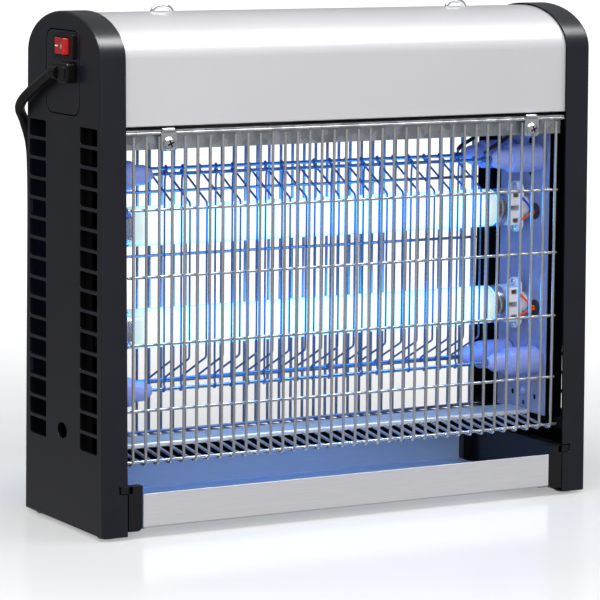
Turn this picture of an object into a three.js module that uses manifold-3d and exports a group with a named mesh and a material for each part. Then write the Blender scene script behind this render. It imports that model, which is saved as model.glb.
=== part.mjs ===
// Electric bug zapper: two moulded end caps joined by a sheet cover and a sheet chassis, two
// ultraviolet tubes behind a two-pole high-voltage wire grid, wire guards front and rear and a
// slide-out catch tray. Millimetres, +Z up, +X to the right along the width, front at -Y, floor
// at Z = 0. Dimensions are measured from the middle of the case; place() then shifts every piece
// so that the origin is the middle of the whole footprint, cord and plug included.
import * as THREE from "three";
import { mergeVertices } from "three/addons/utils/BufferGeometryUtils.js";
import Module from "manifold-3d";

const wasm = await Module();
wasm.setup();

// ---------------------------------------------------------------- shared dimensions
const FOOTPRINT_CENTRE = { x: -5, y: 14 };
const CAP_FACE_X = 181; // outer face of an end cap
const CAP_RIM_X = 163; // inner rim of an end cap
const CAP_WALL = 2.5;
const CAP_BOTTOM_Z = 2; // also the height of the feet
const OVERCUT = 1; // how far most cutting tools run past a face
const PANEL_HALF_Y = 24; // switch panel, set into the left cap
const PANEL_Z = [263.6, 316];
const PANEL_CORNER = 8;
const PANEL_GAP = 0.4;
const BAIL_XS = { left: -111.5, right: 108.3 };
const BAIL_LEG = 7.6; // each leg of a bail from its middle
const CLIP_XS = { left: -133.4, right: 135.8 };
const CLIP_SCREW_Z = 247.6;
const PIVOT_Y = 47.5; // bottom cross wire of a guard, which is also its pivot
const PIVOT_Z = 46.75;
const PLATE_X = 166; // inner face of a side plate
const SHEET_T = 1; // side plate sheet
const RAIL_Y = 17; // grid rails; the high-voltage leads come down at the same y
const LEAD_HOLE_X = 145;
const BAY_Z = 256.2; // underside of the parts under the top cover
const HV_OUTLET = { y: 14, z: 284 };
const LEVELS = {
  upper: { railZ: 224.6, lampZ: 190, grommetY: -13.8, grommetZ: 187.8 },
  lower: { railZ: 86.5, lampZ: 124, grommetY: -16, grommetZ: 121.9 },
};
const ROWS = { front: -1, rear: 1 }; // sign of y
const SIDES = [-1, 1];

// ---------------------------------------------------------------- ranges and outlines
const centred = (half) => [-half, half];
const around = (centre, half) => [centre - half, centre + half];
// The range from near to far, measured from zero towards the given sign.
const onSide = (side, near, far) => (side < 0 ? [-far, -near] : [near, far]);
// Completes an outline across its first coordinate; a point at 0 is not repeated.
function mirrored(half) {
  const offAxis = half.filter(([across]) => across !== 0);
  return [...half, ...offAxis.reverse().map(([across, up]) => [-across, up])];
}
const rectangle = ([y0, y1], [z0, z1]) => [[y0, z0], [y1, z0], [y1, z1], [y0, z1]];
function rounded([y0, y1], [z0, z1], radius, steps = 3) {
  const centres = [
    [y1 - radius, z1 - radius],
    [y0 + radius, z1 - radius],
    [y0 + radius, z0 + radius],
    [y1 - radius, z0 + radius],
  ];
  return centres.flatMap(([y, z], quarter) =>
    Array.from({ length: steps + 1 }, (_, i) => {
      const angle = ((quarter + i / steps) * Math.PI) / 2;
      return [y + radius * Math.cos(angle), z + radius * Math.sin(angle)];
    }),
  );
}
// A polygon inscribed in an ellipse, its first corner turned on by `phase` of a step.
const oval = (y, z, radiusY, radiusZ, count, phase) =>
  Array.from({ length: count }, (_, i) => {
    const angle = ((i + phase) / count) * 2 * Math.PI;
    return [y + radiusY * Math.cos(angle), z + radiusZ * Math.sin(angle)];
  });

// ---------------------------------------------------------------- solids
// Turns a closed three.js geometry into a Manifold, facing its triangles outwards.
function solid(geometry) {
  const loose = geometry.index ? geometry.toNonIndexed() : geometry;
  const bare = new THREE.BufferGeometry();
  bare.setAttribute("position", loose.getAttribute("position"));
  const merged = mergeVertices(bare, 1e-4);
  const index = merged.index.array;
  const build = (flip) => {
    const triangles = [];
    for (let i = 0; i < index.length; i += 3) {
      const [a, b, c] = index.slice(i, i + 3);
      if (a !== b && b !== c && a !== c) triangles.push(a, flip ? c : b, flip ? b : c);
    }
    return new wasm.Manifold(
      new wasm.Mesh({
        numProp: 3,
        vertProperties: new Float32Array(merged.attributes.position.array),
        triVerts: new Uint32Array(triangles),
      }),
    );
  };
  const made = build(false);
  return made.volume() < 0 ? build(true) : made;
}
const join = (...bodies) => bodies.flat().reduce((whole, body) => whole.add(body));
const cut = (body, ...tools) => tools.flat().reduce((rest, tool) => rest.subtract(tool), body);
const flipX = (body) => body.mirror([1, 0, 0]);
const flipY = (body) => body.mirror([0, 1, 0]);

const box = ([x0, x1], [y0, y1], [z0, z1]) =>
  solid(
    new THREE.BoxGeometry(x1 - x0, y1 - y0, z1 - z0).translate(
      (x0 + x1) / 2,
      (y0 + y1) / 2,
      (z0 + z1) / 2,
    ),
  );

const vector = (x, y, z) => new THREE.Vector3(x, y, z);
const EXTRUDE_FRAMES = {
  x: new THREE.Matrix4().makeBasis(vector(0, 1, 0), vector(0, 0, 1), vector(1, 0, 0)),
  y: new THREE.Matrix4().makeBasis(vector(1, 0, 0), vector(0, 0, 1), vector(0, -1, 0)),
  z: new THREE.Matrix4(),
};
const toVectors = (points) => points.map(([a, b]) => new THREE.Vector2(a, b));
// A flat outline pushed along one axis: x takes (y, z) points, y takes (x, z), z takes (x, y).
function prism(axis, points, [from, to], holes = []) {
  const shape = new THREE.Shape(toVectors(points));
  for (const hole of holes) shape.holes.push(new THREE.Path(toVectors(hole)));
  const geometry = new THREE.ExtrudeGeometry(shape, {
    depth: to - from,
    bevelEnabled: false,
    curveSegments: 1,
  });
  geometry.applyMatrix4(EXTRUDE_FRAMES[axis]);
  if (axis === "x") geometry.translate(from, 0, 0);
  if (axis === "y") geometry.translate(0, to, 0);
  if (axis === "z") geometry.translate(0, 0, from);
  return solid(geometry);
}
// A turned profile of [radius, distance along the axis] points, its axis laid along x, y or z.
function turned(axis, profile, at, segments) {
  const geometry = new THREE.LatheGeometry(toVectors(profile), segments);
  if (axis === "x") geometry.rotateZ(-Math.PI / 2);
  if (axis === "z") geometry.rotateX(Math.PI / 2);
  geometry.translate(...at);
  return solid(geometry);
}
const rod = (axis, radius, [from, to], at, segments) =>
  turned(axis, [[0, from], [radius, from], [radius, to], [0, to]], at, segments);

// Straight runs between points, with one extrusion step per run and mitred corners.
class Run extends THREE.Curve {
  constructor(points) {
    super();
    this.points = points;
  }
  getPoint(t, out = new THREE.Vector3()) {
    const along = t * (this.points.length - 1);
    const i = Math.min(Math.floor(along + 1e-9), this.points.length - 2);
    return out.lerpVectors(this.points[i], this.points[i + 1], along - i);
  }
  getPointAt(t, out) {
    return this.getPoint(t, out);
  }
  getTangentAt(t, out = new THREE.Vector3()) {
    const last = this.points.length - 1;
    const k = Math.round(t * last);
    const step = (i) => this.points[i + 1].clone().sub(this.points[i]).normalize();
    const direction = new THREE.Vector3();
    if (k > 0) direction.add(step(k - 1));
    if (k < last) direction.add(step(k));
    return out.copy(direction.normalize());
  }
}
// A section of the given number of sides (4 makes a diamond) carried through the points.
function wire(points, radius, sides) {
  const path = points.map((point) => vector(...point));
  const section = new THREE.Shape(toVectors(oval(0, 0, radius, radius, sides, 0)));
  return solid(
    new THREE.ExtrudeGeometry(section, {
      steps: path.length - 1,
      extrudePath: new Run(path),
      bevelEnabled: false,
      curveSegments: 1,
    }),
  );
}

// ---------------------------------------------------------------- group and finishes
const zapper = new THREE.Group();
zapper.name = "bug_zapper";
const finish = (settings) => new THREE.MeshStandardMaterial(settings); // metalness is 0 if absent
const FINISH = {
  cap: finish({ color: 0x2b2c2f, roughness: 0.32 }),
  cover: finish({ color: 0xcbcdd2, roughness: 0.34, metalness: 0.6 }),
  zinc: finish({ color: 0x9aa3ab, roughness: 0.4, metalness: 0.9 }),
  guard: finish({ color: 0xa4a7ac, roughness: 0.3, metalness: 0.85 }),
  grid: finish({ color: 0xb6bac0, roughness: 0.3, metalness: 0.9 }),
  ceramic: finish({ color: 0xe6ebf2, roughness: 0.35 }),
  tube: finish({ color: 0xdff4ff, roughness: 0.15 }),
  holder: finish({ color: 0xdfe6ee, roughness: 0.4 }),
  black: finish({ color: 0x141416, roughness: 0.4 }),
  red: finish({ color: 0xc01414, roughness: 0.3 }),
  rubber: finish({ color: 0x1a1a1b, roughness: 0.8 }),
  cord: finish({ color: 0x121213, roughness: 0.55 }),
  lead: finish({ color: 0x2a55c0, roughness: 0.5 }),
  chrome: finish({ color: 0xd8dade, roughness: 0.1, metalness: 1 }),
  tray: finish({ color: 0xb9bcc0, roughness: 0.35, metalness: 0.85 }),
  potting: finish({ color: 0x24262a, roughness: 0.6 }),
  board: finish({ color: 0xd9d6c8, roughness: 0.5 }),
};
function place(name, body, material) {
  const made = body.getMesh();
  const positions = new Float32Array(made.vertProperties);
  const geometry = new THREE.BufferGeometry()
    .setAttribute("position", new THREE.BufferAttribute(positions, 3))
    .setIndex(new THREE.BufferAttribute(new Uint32Array(made.triVerts), 1))
    .toNonIndexed();
  geometry.translate(-FOOTPRINT_CENTRE.x, -FOOTPRINT_CENTRE.y, 0);
  geometry.computeVertexNormals();
  const mesh = new THREE.Mesh(geometry, material);
  mesh.name = name;
  zapper.add(mesh);
}
function placePair(name, rightBody, material) {
  place(name + "_right", rightBody, material);
  place(name + "_left", flipX(rightBody), material);
}

// ---------------------------------------------------------------- end caps
// Outlines in (y, z), rear half from the bottom edge to the crown.
const CAP_OUTER = mirrored([
  [57.5, CAP_BOTTOM_Z], [53, 300], [51.3, 306.6], [46, 313.2],
  [36, 320.4], [23.5, 325.1], [11.4, 327.4], [0, 328],
]);
const CAP_INNER = mirrored([
  [55, 4.5], [50.75, 300], [49.25, 306.5], [44.3, 312.6],
  [34.8, 319.3], [22.7, 324], [11.05, 326.25], [0, 326.95],
]);
const END_WALL_CUT = [CAP_FACE_X - CAP_WALL - OVERCUT, CAP_FACE_X + OVERCUT];
const VENTS = { rows: 16, top: 257.3, pitch: 12.86, height: 10.7, nearY: 25, farY: 49.4 };
const RUNNER_Z = [26.4, 28.9]; // shelf under the tray flange
const CAP_FILL_Y = 54.8; // runner and pivot blocks reach this far into the side walls

function ventSlots() {
  const slots = [];
  for (let i = 0; i < VENTS.rows; i++) {
    const top = VENTS.top - i * VENTS.pitch;
    for (const side of SIDES) {
      const width = onSide(side, VENTS.nearY, VENTS.farY);
      slots.push(box(END_WALL_CUT, width, [top - VENTS.height, top]));
    }
  }
  return slots;
}
function rightCap() {
  const shell = cut(
    prism("x", CAP_OUTER, [CAP_RIM_X, CAP_FACE_X]),
    prism("x", CAP_INNER, [CAP_RIM_X - OVERCUT, CAP_FACE_X - CAP_WALL]),
  );
  const runner = box([CAP_RIM_X + 0.3, CAP_FACE_X - 1], centred(CAP_FILL_Y), RUNNER_Z);
  const pivotBlocks = SIDES.map((side) =>
    box([CAP_RIM_X + 0.5, 170], onSide(side, 44.2, CAP_FILL_Y), [43.8, 51.4]),
  );
  const pivotHoles = SIDES.map((side) =>
    rod("x", 1.5, [CAP_RIM_X, 168.5], [0, side * PIVOT_Y, PIVOT_Z], 8),
  );
  const screwAccess = prism("x", oval(1, 62, 6.85, 5.1, 10, 0.5), END_WALL_CUT);
  // where the tray flange leaves the rim, front and rear
  const flangeNotches = SIDES.map((side) =>
    box([CAP_RIM_X - OVERCUT, 169], onSide(side, 50, 60), [RUNNER_Z[1], 34.4]),
  );
  return cut(
    join(shell, runner, pivotBlocks),
    pivotHoles,
    ventSlots(),
    screwAccess,
    flangeNotches,
  );
}
function leftCap(right) {
  const opening = rounded(
    centred(PANEL_HALF_Y + PANEL_GAP),
    [PANEL_Z[0] - PANEL_GAP, PANEL_Z[1] + PANEL_GAP],
    PANEL_CORNER + PANEL_GAP,
  );
  return flipX(cut(right, prism("x", opening, END_WALL_CUT)));
}
const cap = rightCap();
place("right_end_cap", cap, FINISH.cap);
place("left_end_cap", leftCap(cap), FINISH.cap);

// ---------------------------------------------------------------- switch panel and switch
const SWITCH_Y = -5.5;
const SWITCH_Z = 306.4;
const BEZEL_X = -CAP_FACE_X - 2.7; // outer face of the switch bezel
const ROCKER_PIN_X = -181.6;
const ROCKER_TILT = (7 * Math.PI) / 180;
// Paddle section as [y, x] from the pin: two facets meeting in a shallow valley.
const PADDLE = [
  [-8.1, -4.7], [0, -3.7], [8.1, -4.7], [8.1, 1.2], [3.2, 3.4], [-3.2, 3.4], [-8.1, 1.2],
];

function switchPanel() {
  const switchHole = rectangle(around(SWITCH_Y, 12.8), around(SWITCH_Z, 6.8));
  const cordHole = rectangle([-18.6, -5.4], [285.2, 294.8]);
  return prism(
    "x",
    rounded(centred(PANEL_HALF_Y), PANEL_Z, PANEL_CORNER),
    [-CAP_FACE_X, -CAP_FACE_X + CAP_WALL],
    [switchHole, cordHole],
  );
}
function switchBody() {
  const block = (xRange, halfY, halfZ) =>
    box(xRange, around(SWITCH_Y, halfY), around(SWITCH_Z, halfZ));
  const bezel = block([BEZEL_X, -CAP_FACE_X - 0.1], 14.1, 7.7);
  const housing = block([-CAP_FACE_X - 0.5, -166.5], 12.5, 6.5);
  const terminals = SIDES.map((side) =>
    box([-167, -161.5], around(SWITCH_Y + side * 7, 0.4), around(SWITCH_Z, 2.4)),
  );
  const rockerWell = block([BEZEL_X - OVERCUT, -173.5], 8.7, 5.6);
  return cut(join(bezel, housing, terminals), rockerWell);
}
// The paddle is turned about its pin so that its rear half is pressed in.
function rockerButton() {
  const cos = Math.cos(ROCKER_TILT);
  const sin = Math.sin(ROCKER_TILT);
  const outline = PADDLE.map(([y, x]) => [
    x * cos + y * sin + ROCKER_PIN_X,
    y * cos - x * sin + SWITCH_Y,
  ]);
  return prism("z", outline, around(SWITCH_Z, 5.1));
}
place("switch_panel", switchPanel(), FINISH.cap);
place("rocker_switch_body", switchBody(), FINISH.black);
place("rocker_button", rockerButton(), FINISH.red);

// ---------------------------------------------------------------- cord and plug
const CORD_X = -186; // where the cord leaves the strain relief
const CORD_Z = 289.9;
const PLUG_Y = 73.25;
const PLUG_Z = 7;
// Cord centre line, from the strain relief down behind the left cap to the plug.
const CORD_PATH = [
  [CORD_X, -5, CORD_Z], [CORD_X, 0, CORD_Z], [CORD_X, 4.5, 289.5], [CORD_X, 12, 286.6],
  [CORD_X, 25, 280.9], [CORD_X, 38, 275], [CORD_X, 49.5, 268.6], [-184.2, 57.2, 262.5],
  [-179, 61.6, 254], [-174.6, 62.6, 240], [-173.2, 63, 222], [-172.5, 64, 180],
  [-172, 65.5, 110], [-171.5, 67, 45], [-169, 69, 18], [-158, 71, 5.2],
  [-140, 72.5, 3.6], [-112, PLUG_Y, 5.6], [-96, PLUG_Y, PLUG_Z],
];
function strainRelief() {
  const outerBlock = box([-188, -CAP_FACE_X - 0.3], [-20.4, -4.5], [283.6, 297]);
  const innerBlock = box([-CAP_FACE_X - 0.8, -173], [-18, -6], [285.8, 294.2]);
  const collar = rod("y", 4.6, [-6, 4], [CORD_X, 0, CORD_Z], 10);
  const bore = rod("y", 3.7, [-5.5, 6], [CORD_X, 0, CORD_Z], 8);
  return cut(join(outerBlock, innerBlock, collar), bore);
}
function powerCord() {
  const stations = CORD_PATH.map((point) => vector(...point));
  const curve = new THREE.CatmullRomCurve3(stations, false, "centripetal");
  const plugNeck = [[0, -100], [4.4, -100], [5.6, -86], [6.5, -84], [0, -84]];
  return join(
    wire(curve.getPoints(42), 3.2, 8),
    turned("x", plugNeck, [0, PLUG_Y, PLUG_Z], 8),
    prism("x", rounded(around(PLUG_Y, 12.25), [0.3, 14.5], 4, 2), [-85, -52]),
    SIDES.map((side) => box([-53, -34.5], around(PLUG_Y + side * 6.45, 0.8), [3.9, 10.2])),
  );
}
place("strain_relief", strainRelief(), FINISH.cord);
place("power_cord", powerCord(), FINISH.cord);

// ---------------------------------------------------------------- top cover, hanging bails
const COVER_T = 1.2;
const COVER_EDGE_Z = 258.7;
const COVER_X = 168; // the cover tucks this far into the caps
// Outlines in (y, z), rear half from the lower edge to the crown.
const COVER_OUTER = mirrored([
  [50.8, COVER_EDGE_Z], [50.4, 300], [48.9, 306.2], [44, 312.2],
  [34.5, 318.9], [22.6, 323.6], [11, 325.9], [0, 326.6],
]);
const COVER_INNER = mirrored([
  [50.8 - COVER_T, COVER_EDGE_Z - OVERCUT], [50.4 - COVER_T, 299.6], [47.8, 305.5],
  [43.2, 311.2], [34, 317.7], [22.3, 322.4], [10.9, 324.7], [0, 325.4],
]);
// Left half of a bail as [x from its middle, z].
const BAIL_PATH = mirrored([
  [-BAIL_LEG, 309], [-BAIL_LEG, 327.6], [-6.6, 329.5], [-4.6, 330.2],
]);
// One upright rod at each leg of the bail at x.
const atLegs = (x, radius, zRange) =>
  SIDES.map((side) => rod("z", radius, zRange, [x + side * BAIL_LEG, 0, 0], 8));

function topCover() {
  return cut(
    prism("x", COVER_OUTER, centred(COVER_X)),
    prism("x", COVER_INNER, centred(COVER_X + OVERCUT)),
    Object.values(BAIL_XS).flatMap((x) => atLegs(x, 1.7, [315, 330])),
  );
}
function bail(middle) {
  const loop = wire(BAIL_PATH.map(([x, z]) => [middle + x, 0, z]), 1.1, 8);
  return join(loop, atLegs(middle, 2.6, [307.4, 309.4]));
}
place("top_cover", topCover(), FINISH.cover);
for (const [side, x] of Object.entries(BAIL_XS)) {
  place("hanging_bail_" + side, bail(x), FINISH.chrome);
}

// ---------------------------------------------------------------- sheet chassis
const CHANNEL_X = 162.75;
// Rear half of the channel section in (y, z): edge lip, web, downturned leg.
const CHANNEL = mirrored([
  [52.3, 256], [52.3, 253], [51.3, 253], [51.3, 255],
  [47.5, 255], [47.5, 243.4], [46.5, 243.4], [46.5, 255],
]);
const PLATE_HALF_Y = 29.5;
const PLATE_TOP_Z = 254.8;
const PLATE_HOLES = [ // y, z, radius
  [-6.2, 234.6, 2.4], [-6.9, 213.7, 2], [-9.2, 96.3, 2],
  [-9.1, 74.9, 2], [10.6, 60.4, 1.8], [-16.5, 60.5, 1.8],
];
const STRIP = mirrored([[13, 51.6], [13, 48.6], [12, 48.6], [12, 50.4]]); // (y, z)

function topChannel() {
  const screwHoles = Object.values(CLIP_XS).flatMap((x) =>
    SIDES.map((side) => rod("y", 2.1, onSide(side, 40, 50), [x, 0, CLIP_SCREW_Z], 6)),
  );
  const leadHoles = SIDES.map((side) =>
    rod("z", 3, [250, 260], [LEAD_HOLE_X, side * RAIL_Y, 0], 8),
  );
  return cut(prism("x", CHANNEL, centred(CHANNEL_X)), screwHoles, leadHoles);
}
function sidePlate() {
  const outerX = PLATE_X + SHEET_T;
  const through = [PLATE_X - OVERCUT, outerX + OVERCUT];
  return cut(
    join(
      box([PLATE_X, outerX], centred(PLATE_HALF_Y), [46, PLATE_TOP_Z]),
      box([150, outerX], centred(PLATE_HALF_Y), [PLATE_TOP_Z - SHEET_T, PLATE_TOP_Z]),
      box([154, outerX], centred(11), [49.1, 50.1]),
    ),
    Object.values(LEVELS).map(({ grommetY, grommetZ }) =>
      rod("x", 4.3, through, [0, grommetY, grommetZ], 8),
    ),
    PLATE_HOLES.map(([y, z, radius]) => rod("x", radius, through, [0, y, z], 6)),
    // notches that let the high-voltage leads past the top flange
    SIDES.map((side) =>
      box([LEAD_HOLE_X - 30, LEAD_HOLE_X + 9], around(side * RAIL_Y, 5), [253, 256]),
    ),
  );
}
const plate = sidePlate();
place("top_channel", topChannel(), FINISH.zinc);
place("right_side_plate", plate, FINISH.zinc);
place("left_side_plate", flipX(plate), FINISH.zinc);
place("floor_strip", prism("x", STRIP, centred(164.5)), FINISH.zinc);

// ---------------------------------------------------------------- wire guards and clips
const GUARD_Y = 51; // plane of the upright wires
const GUARD_R = 1;
const GUARD_COUNT = 36;
const GUARD_PITCH = 8.953125;
const GUARD_LAST_X = ((GUARD_COUNT - 1) / 2) * GUARD_PITCH;
const GUARD_BAR_ZS = [206, 163.875, 121.25, 79.625];
// Upright wire in (y, z): down the front, round the pivot and in towards the floor strip.
const GUARD_UPRIGHT = [[-GUARD_Y, 252], [-GUARD_Y, 48.5], [-PIVOT_Y, 45], [-13.75, 49]];

function frontGuard() {
  const crossWire = (end, y, z) => wire([[-end, y, z], [end, y, z]], GUARD_R, 4);
  const uprights = Array.from({ length: GUARD_COUNT }, (_, i) => {
    const x = GUARD_LAST_X - i * GUARD_PITCH;
    return wire(GUARD_UPRIGHT.map(([y, z]) => [x, y, z]), GUARD_R, 4);
  });
  return join(
    uprights,
    GUARD_BAR_ZS.map((z) => crossWire(GUARD_LAST_X + 3, -GUARD_Y + 1.25, z)),
    crossWire(167.25, -PIVOT_Y, PIVOT_Z),
  );
}
function frontClip(x) {
  const width = around(x, 5.5);
  const upright = box(width, [-53.7, -52.6], [242.4, 257.8]);
  const topLip = box(width, [-53.7, -50.4], [256.8, 257.8]);
  const screwHole = rod("y", 1.8, [-56, -50], [x, 0, CLIP_SCREW_Z], 6);
  return cut(join(upright, topLip), screwHole);
}
function frontClipScrew(x) {
  const profile = [
    [0, -56], [2, -55.8], [3.8, -54.7], [3.8, -53.8], [1.5, -53.8], [1.5, -43.5], [0, -43.5],
  ];
  return turned("y", profile, [x, 0, CLIP_SCREW_Z], 8);
}
const guard = frontGuard();
place("front_guard", guard, FINISH.guard);
place("rear_guard", flipY(guard), FINISH.guard);
for (const [side, x] of Object.entries(CLIP_XS)) {
  const clip = frontClip(x);
  const screw = frontClipScrew(x);
  place("front_clip_" + side, clip, FINISH.zinc);
  place("front_clip_screw_" + side, screw, FINISH.chrome);
  place("rear_clip_" + side, flipY(clip), FINISH.zinc);
  place("rear_clip_screw_" + side, flipY(screw), FINISH.chrome);
}

// ---------------------------------------------------------------- high-voltage grid
const INSULATOR = [ // radius, x; hollow at the rail end
  [1.7, 137.5], [0, 137.5], [0, 165.7], [8.6, 165.7], [9.7, 163.5], [9.7, 141.6],
  [6.7, 141.2], [6.7, 132], [3.2, 127.3], [1.7, 127.3], [1.7, 137.5],
];
const GRID_R = 0.6;
const GRID_PITCH = 12.2;
const GRID_FIRST_X = 126.2; // rightmost front wire
const UPPER_RAIL_Z = LEVELS.upper.railZ;
const LOWER_RAIL_Z = LEVELS.lower.railZ;
const FRONT_GRID_WIRE = [[-RAIL_Y, UPPER_RAIL_Z], [-RAIL_Y, LOWER_RAIL_Z - 2.4]]; // (y, z)
// A rear wire slopes forward from its rails into the plane of the front wires; (y, z).
const REAR_GRID_WIRE = [
  [RAIL_Y, UPPER_RAIL_Z], [-RAIL_Y, 205], [-RAIL_Y, 105], [RAIL_Y, LOWER_RAIL_Z],
];
// Transformer outlet, down through the channel, to the right end of an upper rail.
const HV_LEAD_PATH = [
  [52, HV_OUTLET.y, HV_OUTLET.z], [80, 15, 284], [120, 16.5, 280], [140, RAIL_Y, 274],
  [LEAD_HOLE_X, RAIL_Y, 266], [LEAD_HOLE_X, RAIL_Y, 250], [142, RAIL_Y, 241],
  [134, RAIL_Y, 235.5], [125, RAIL_Y, 231], [122.6, RAIL_Y, 227.4],
];

function grid(railY, path, firstX, count) {
  const rails = [UPPER_RAIL_Z, LOWER_RAIL_Z].map((z) =>
    rod("x", 1.2, centred(136), [0, railY, z], 6),
  );
  const wires = Array.from({ length: count }, (_, i) =>
    wire(path.map(([y, z]) => [firstX - i * GRID_PITCH, y, z]), GRID_R, 4),
  );
  return join(rails, wires);
}
const hvLead = (side) => wire(HV_LEAD_PATH.map(([x, y, z]) => [x, side * y, z]), 1.35, 6);

for (const [level, { railZ }] of Object.entries(LEVELS)) {
  for (const [row, side] of Object.entries(ROWS)) {
    const insulator = turned("x", INSULATOR, [0, side * RAIL_Y, railZ], 10);
    placePair("insulator_" + level + "_" + row, insulator, FINISH.ceramic);
  }
}
place("hv_grid_front", grid(-RAIL_Y, FRONT_GRID_WIRE, GRID_FIRST_X, 21), FINISH.grid);
// the rear wires stand midway between the front ones
const rearGrid = grid(RAIL_Y, REAR_GRID_WIRE, GRID_FIRST_X - GRID_PITCH / 2, 20);
place("hv_grid_rear", rearGrid, FINISH.grid);
for (const [row, side] of Object.entries(ROWS)) place("hv_lead_" + row, hvLead(side), FINISH.cord);

// ---------------------------------------------------------------- lamps and holders
const LAMP_END_X = 147;
const LAMP_HALF = [ // radius, x
  [0, LAMP_END_X], [11.6, LAMP_END_X], [12.9, 145.8], [12.9, 138.2], [13, 136.6],
];
const HOLDER_MOUTH = [147, 155.5]; // x range of the groove and slot
const GROMMET = [ // radius, x
  [2, 164.7], [5.6, 164.7], [5.6, 165.8], [3.9, 165.8], [3.9, 167.2],
  [5.6, 167.2], [5.6, 168.3], [2, 168.3], [2, 164.7],
];
const TRUNK_X = 172.5;
const TRUNK_Y = -15;

function lamp(z) {
  const profile = [...LAMP_HALF, ...LAMP_HALF.toReversed().map(([radius, x]) => [radius, -x])];
  const pins = SIDES.flatMap((end) =>
    SIDES.map((side) =>
      rod("x", 1.175, onSide(end, LAMP_END_X - 1, 154), [0, 0, z + side * 6.35], 6),
    ),
  );
  return join(turned("x", profile, [0, 0, z], 18), pins);
}
function lampHolder(z) {
  const [from, to] = HOLDER_MOUTH;
  const groove = [[4.6, from], [8.2, from], [8.2, to], [4.6, to], [4.6, from]];
  return cut(
    join(
      box([147.5, 161], centred(10), around(z, 12)),
      rod("x", 17.5, [158.5, 162], [0, 0, z], 16),
      rod("x", 7, [161, PLATE_X - 0.1], [0, 0, z], 8),
    ),
    turned("x", groove, [0, 0, z], 16),
    box(HOLDER_MOUTH, [-11, 8], around(z, 1.7)),
  );
}
// A drop from each holder, through its grommet, to a trunk that climbs outside the side plate
// and turns in over the channel.
function harness() {
  const drops = Object.values(LEVELS).map(({ lampZ, grommetY: y, grommetZ: z }) => {
    const start = [[163.1, -7.4, lampZ - 0.5], [163.1, y + 0.4, z + 0.1]];
    return wire([...start, [163.5, y, z], [171, y, z], [TRUNK_X, TRUNK_Y, z + 6]], 1, 6);
  });
  const trunk = [
    [TRUNK_X, TRUNK_Y, 124], [TRUNK_X, TRUNK_Y, 262], [170, TRUNK_Y, 272],
    [163, TRUNK_Y, 277], [150, TRUNK_Y, 278], [133, -12, 278],
  ];
  return join(drops, wire(trunk, 2, 6));
}
for (const [level, { lampZ }] of Object.entries(LEVELS)) {
  place(level + "_lamp", lamp(lampZ), FINISH.tube);
}
for (const [level, { lampZ }] of Object.entries(LEVELS)) {
  placePair("lampholder_" + level, lampHolder(lampZ), FINISH.holder);
}
for (const [level, { grommetY, grommetZ }] of Object.entries(LEVELS)) {
  const grommet = turned("x", GROMMET, [0, grommetY, grommetZ], 8);
  placePair("grommet_" + level, grommet, FINISH.rubber);
}
placePair("lamp_leads", harness(), FINISH.lead);

// ---------------------------------------------------------------- parts under the top cover
function transformer() {
  const { y, z } = HV_OUTLET;
  return cut(
    join(
      box([-8, 52], centred(21), [BAY_Z, 294]),
      box([-14, 58], centred(6), [BAY_Z, 258.4]),
      SIDES.map((side) => box([51, 54.5], around(side * y, 5), around(z, 6))),
    ),
    SIDES.map((side) => rod("x", 1.6, [50, 56], [0, side * y, z], 8)),
  );
}
const ballast = () =>
  join(
    box([-104, -28], centred(17), [BAY_Z, 284]),
    box([-112, -20], centred(8), [BAY_Z, 257.8]),
  );
function terminalBlock() {
  const base = box([-150, -122], centred(8), [BAY_Z, 268]);
  const ridge = box([-147.5, -124.5], centred(4.5), [268, 273]);
  const holes = [-144.7, -138.7, -132.7, -127.3].map((x) =>
    rod("z", 1.5, [264, 275], [x, 0, 0], 6),
  );
  return cut(join(base, ridge), holes);
}
place("hv_transformer_module", transformer(), FINISH.potting);
place("lamp_ballast", ballast(), FINISH.board);
place("terminal_block", terminalBlock(), FINISH.board);

// ---------------------------------------------------------------- catch tray
const TRAY_X = 152.3; // half length of the pan
const PAN = mirrored([[57, 6.5], [57, 28.6], [56, 28.6], [56, 7.5]]); // (y, z)
const TRAY_END_X = TRAY_X + 0.3;
const TRAY_END_Y = 57.2;
const TRAY_END_Z = 4.8;
const FLANGE_Z = [29.2, 33.8];

function trayEnd() {
  const cheek = [ // (x, z)
    [TRAY_END_X, 7.6], [155.4, TRAY_END_Z], [162.5, TRAY_END_Z],
    [162.5, FLANGE_Z[0]], [TRAY_END_X, FLANGE_Z[0]],
  ];
  const cheekYs = SIDES.map((side) => onSide(side, 51, TRAY_END_Y));
  return join(
    cheekYs.map((yRange) => prism("y", cheek, yRange)),
    box([159.5, 162.5], centred(TRAY_END_Y), [TRAY_END_Z, FLANGE_Z[1]]),
    box([148, 161], centred(50.5), [TRAY_END_Z, 6.2]),
    box([154, 156.4], centred(52), [TRAY_END_Z, 7.4]),
    box([159.5, 168], centred(TRAY_END_Y), FLANGE_Z),
    cheekYs.map((yRange) => box([TRAY_END_X, 160], yRange, [29, FLANGE_Z[1]])),
  );
}
place("tray_pan", prism("x", PAN, centred(TRAY_X)), FINISH.tray);
placePair("tray_end", trayEnd(), FINISH.black);

// ---------------------------------------------------------------- feet
const FOOT = [[0, 0], [5.2, 0], [6, 0.8], [6, CAP_BOTTOM_Z], [0, CAP_BOTTOM_Z]]; // radius, z
for (const [row, rowSign] of Object.entries(ROWS)) {
  for (const [side, x] of [["left", -172], ["right", 172]]) {
    place("foot_" + row + "_" + side, turned("z", FOOT, [x, rowSign * 45, 0], 12), FINISH.rubber);
  }
}

export default zapper;
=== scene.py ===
"""Insect killer with two lit lamps, live wire grids, wire guards and a catch tray.

The case is long in x, with the switch on its left (-x) end cap. The front faces -y, z is up
and the feet stand on z = 0. Pieces are laid out in millimetres about the middle of the case,
and place() moves them into the shared frame, which is in metres.
"""
import math

import bmesh
import bpy
from mathutils import Matrix, Vector


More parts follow.
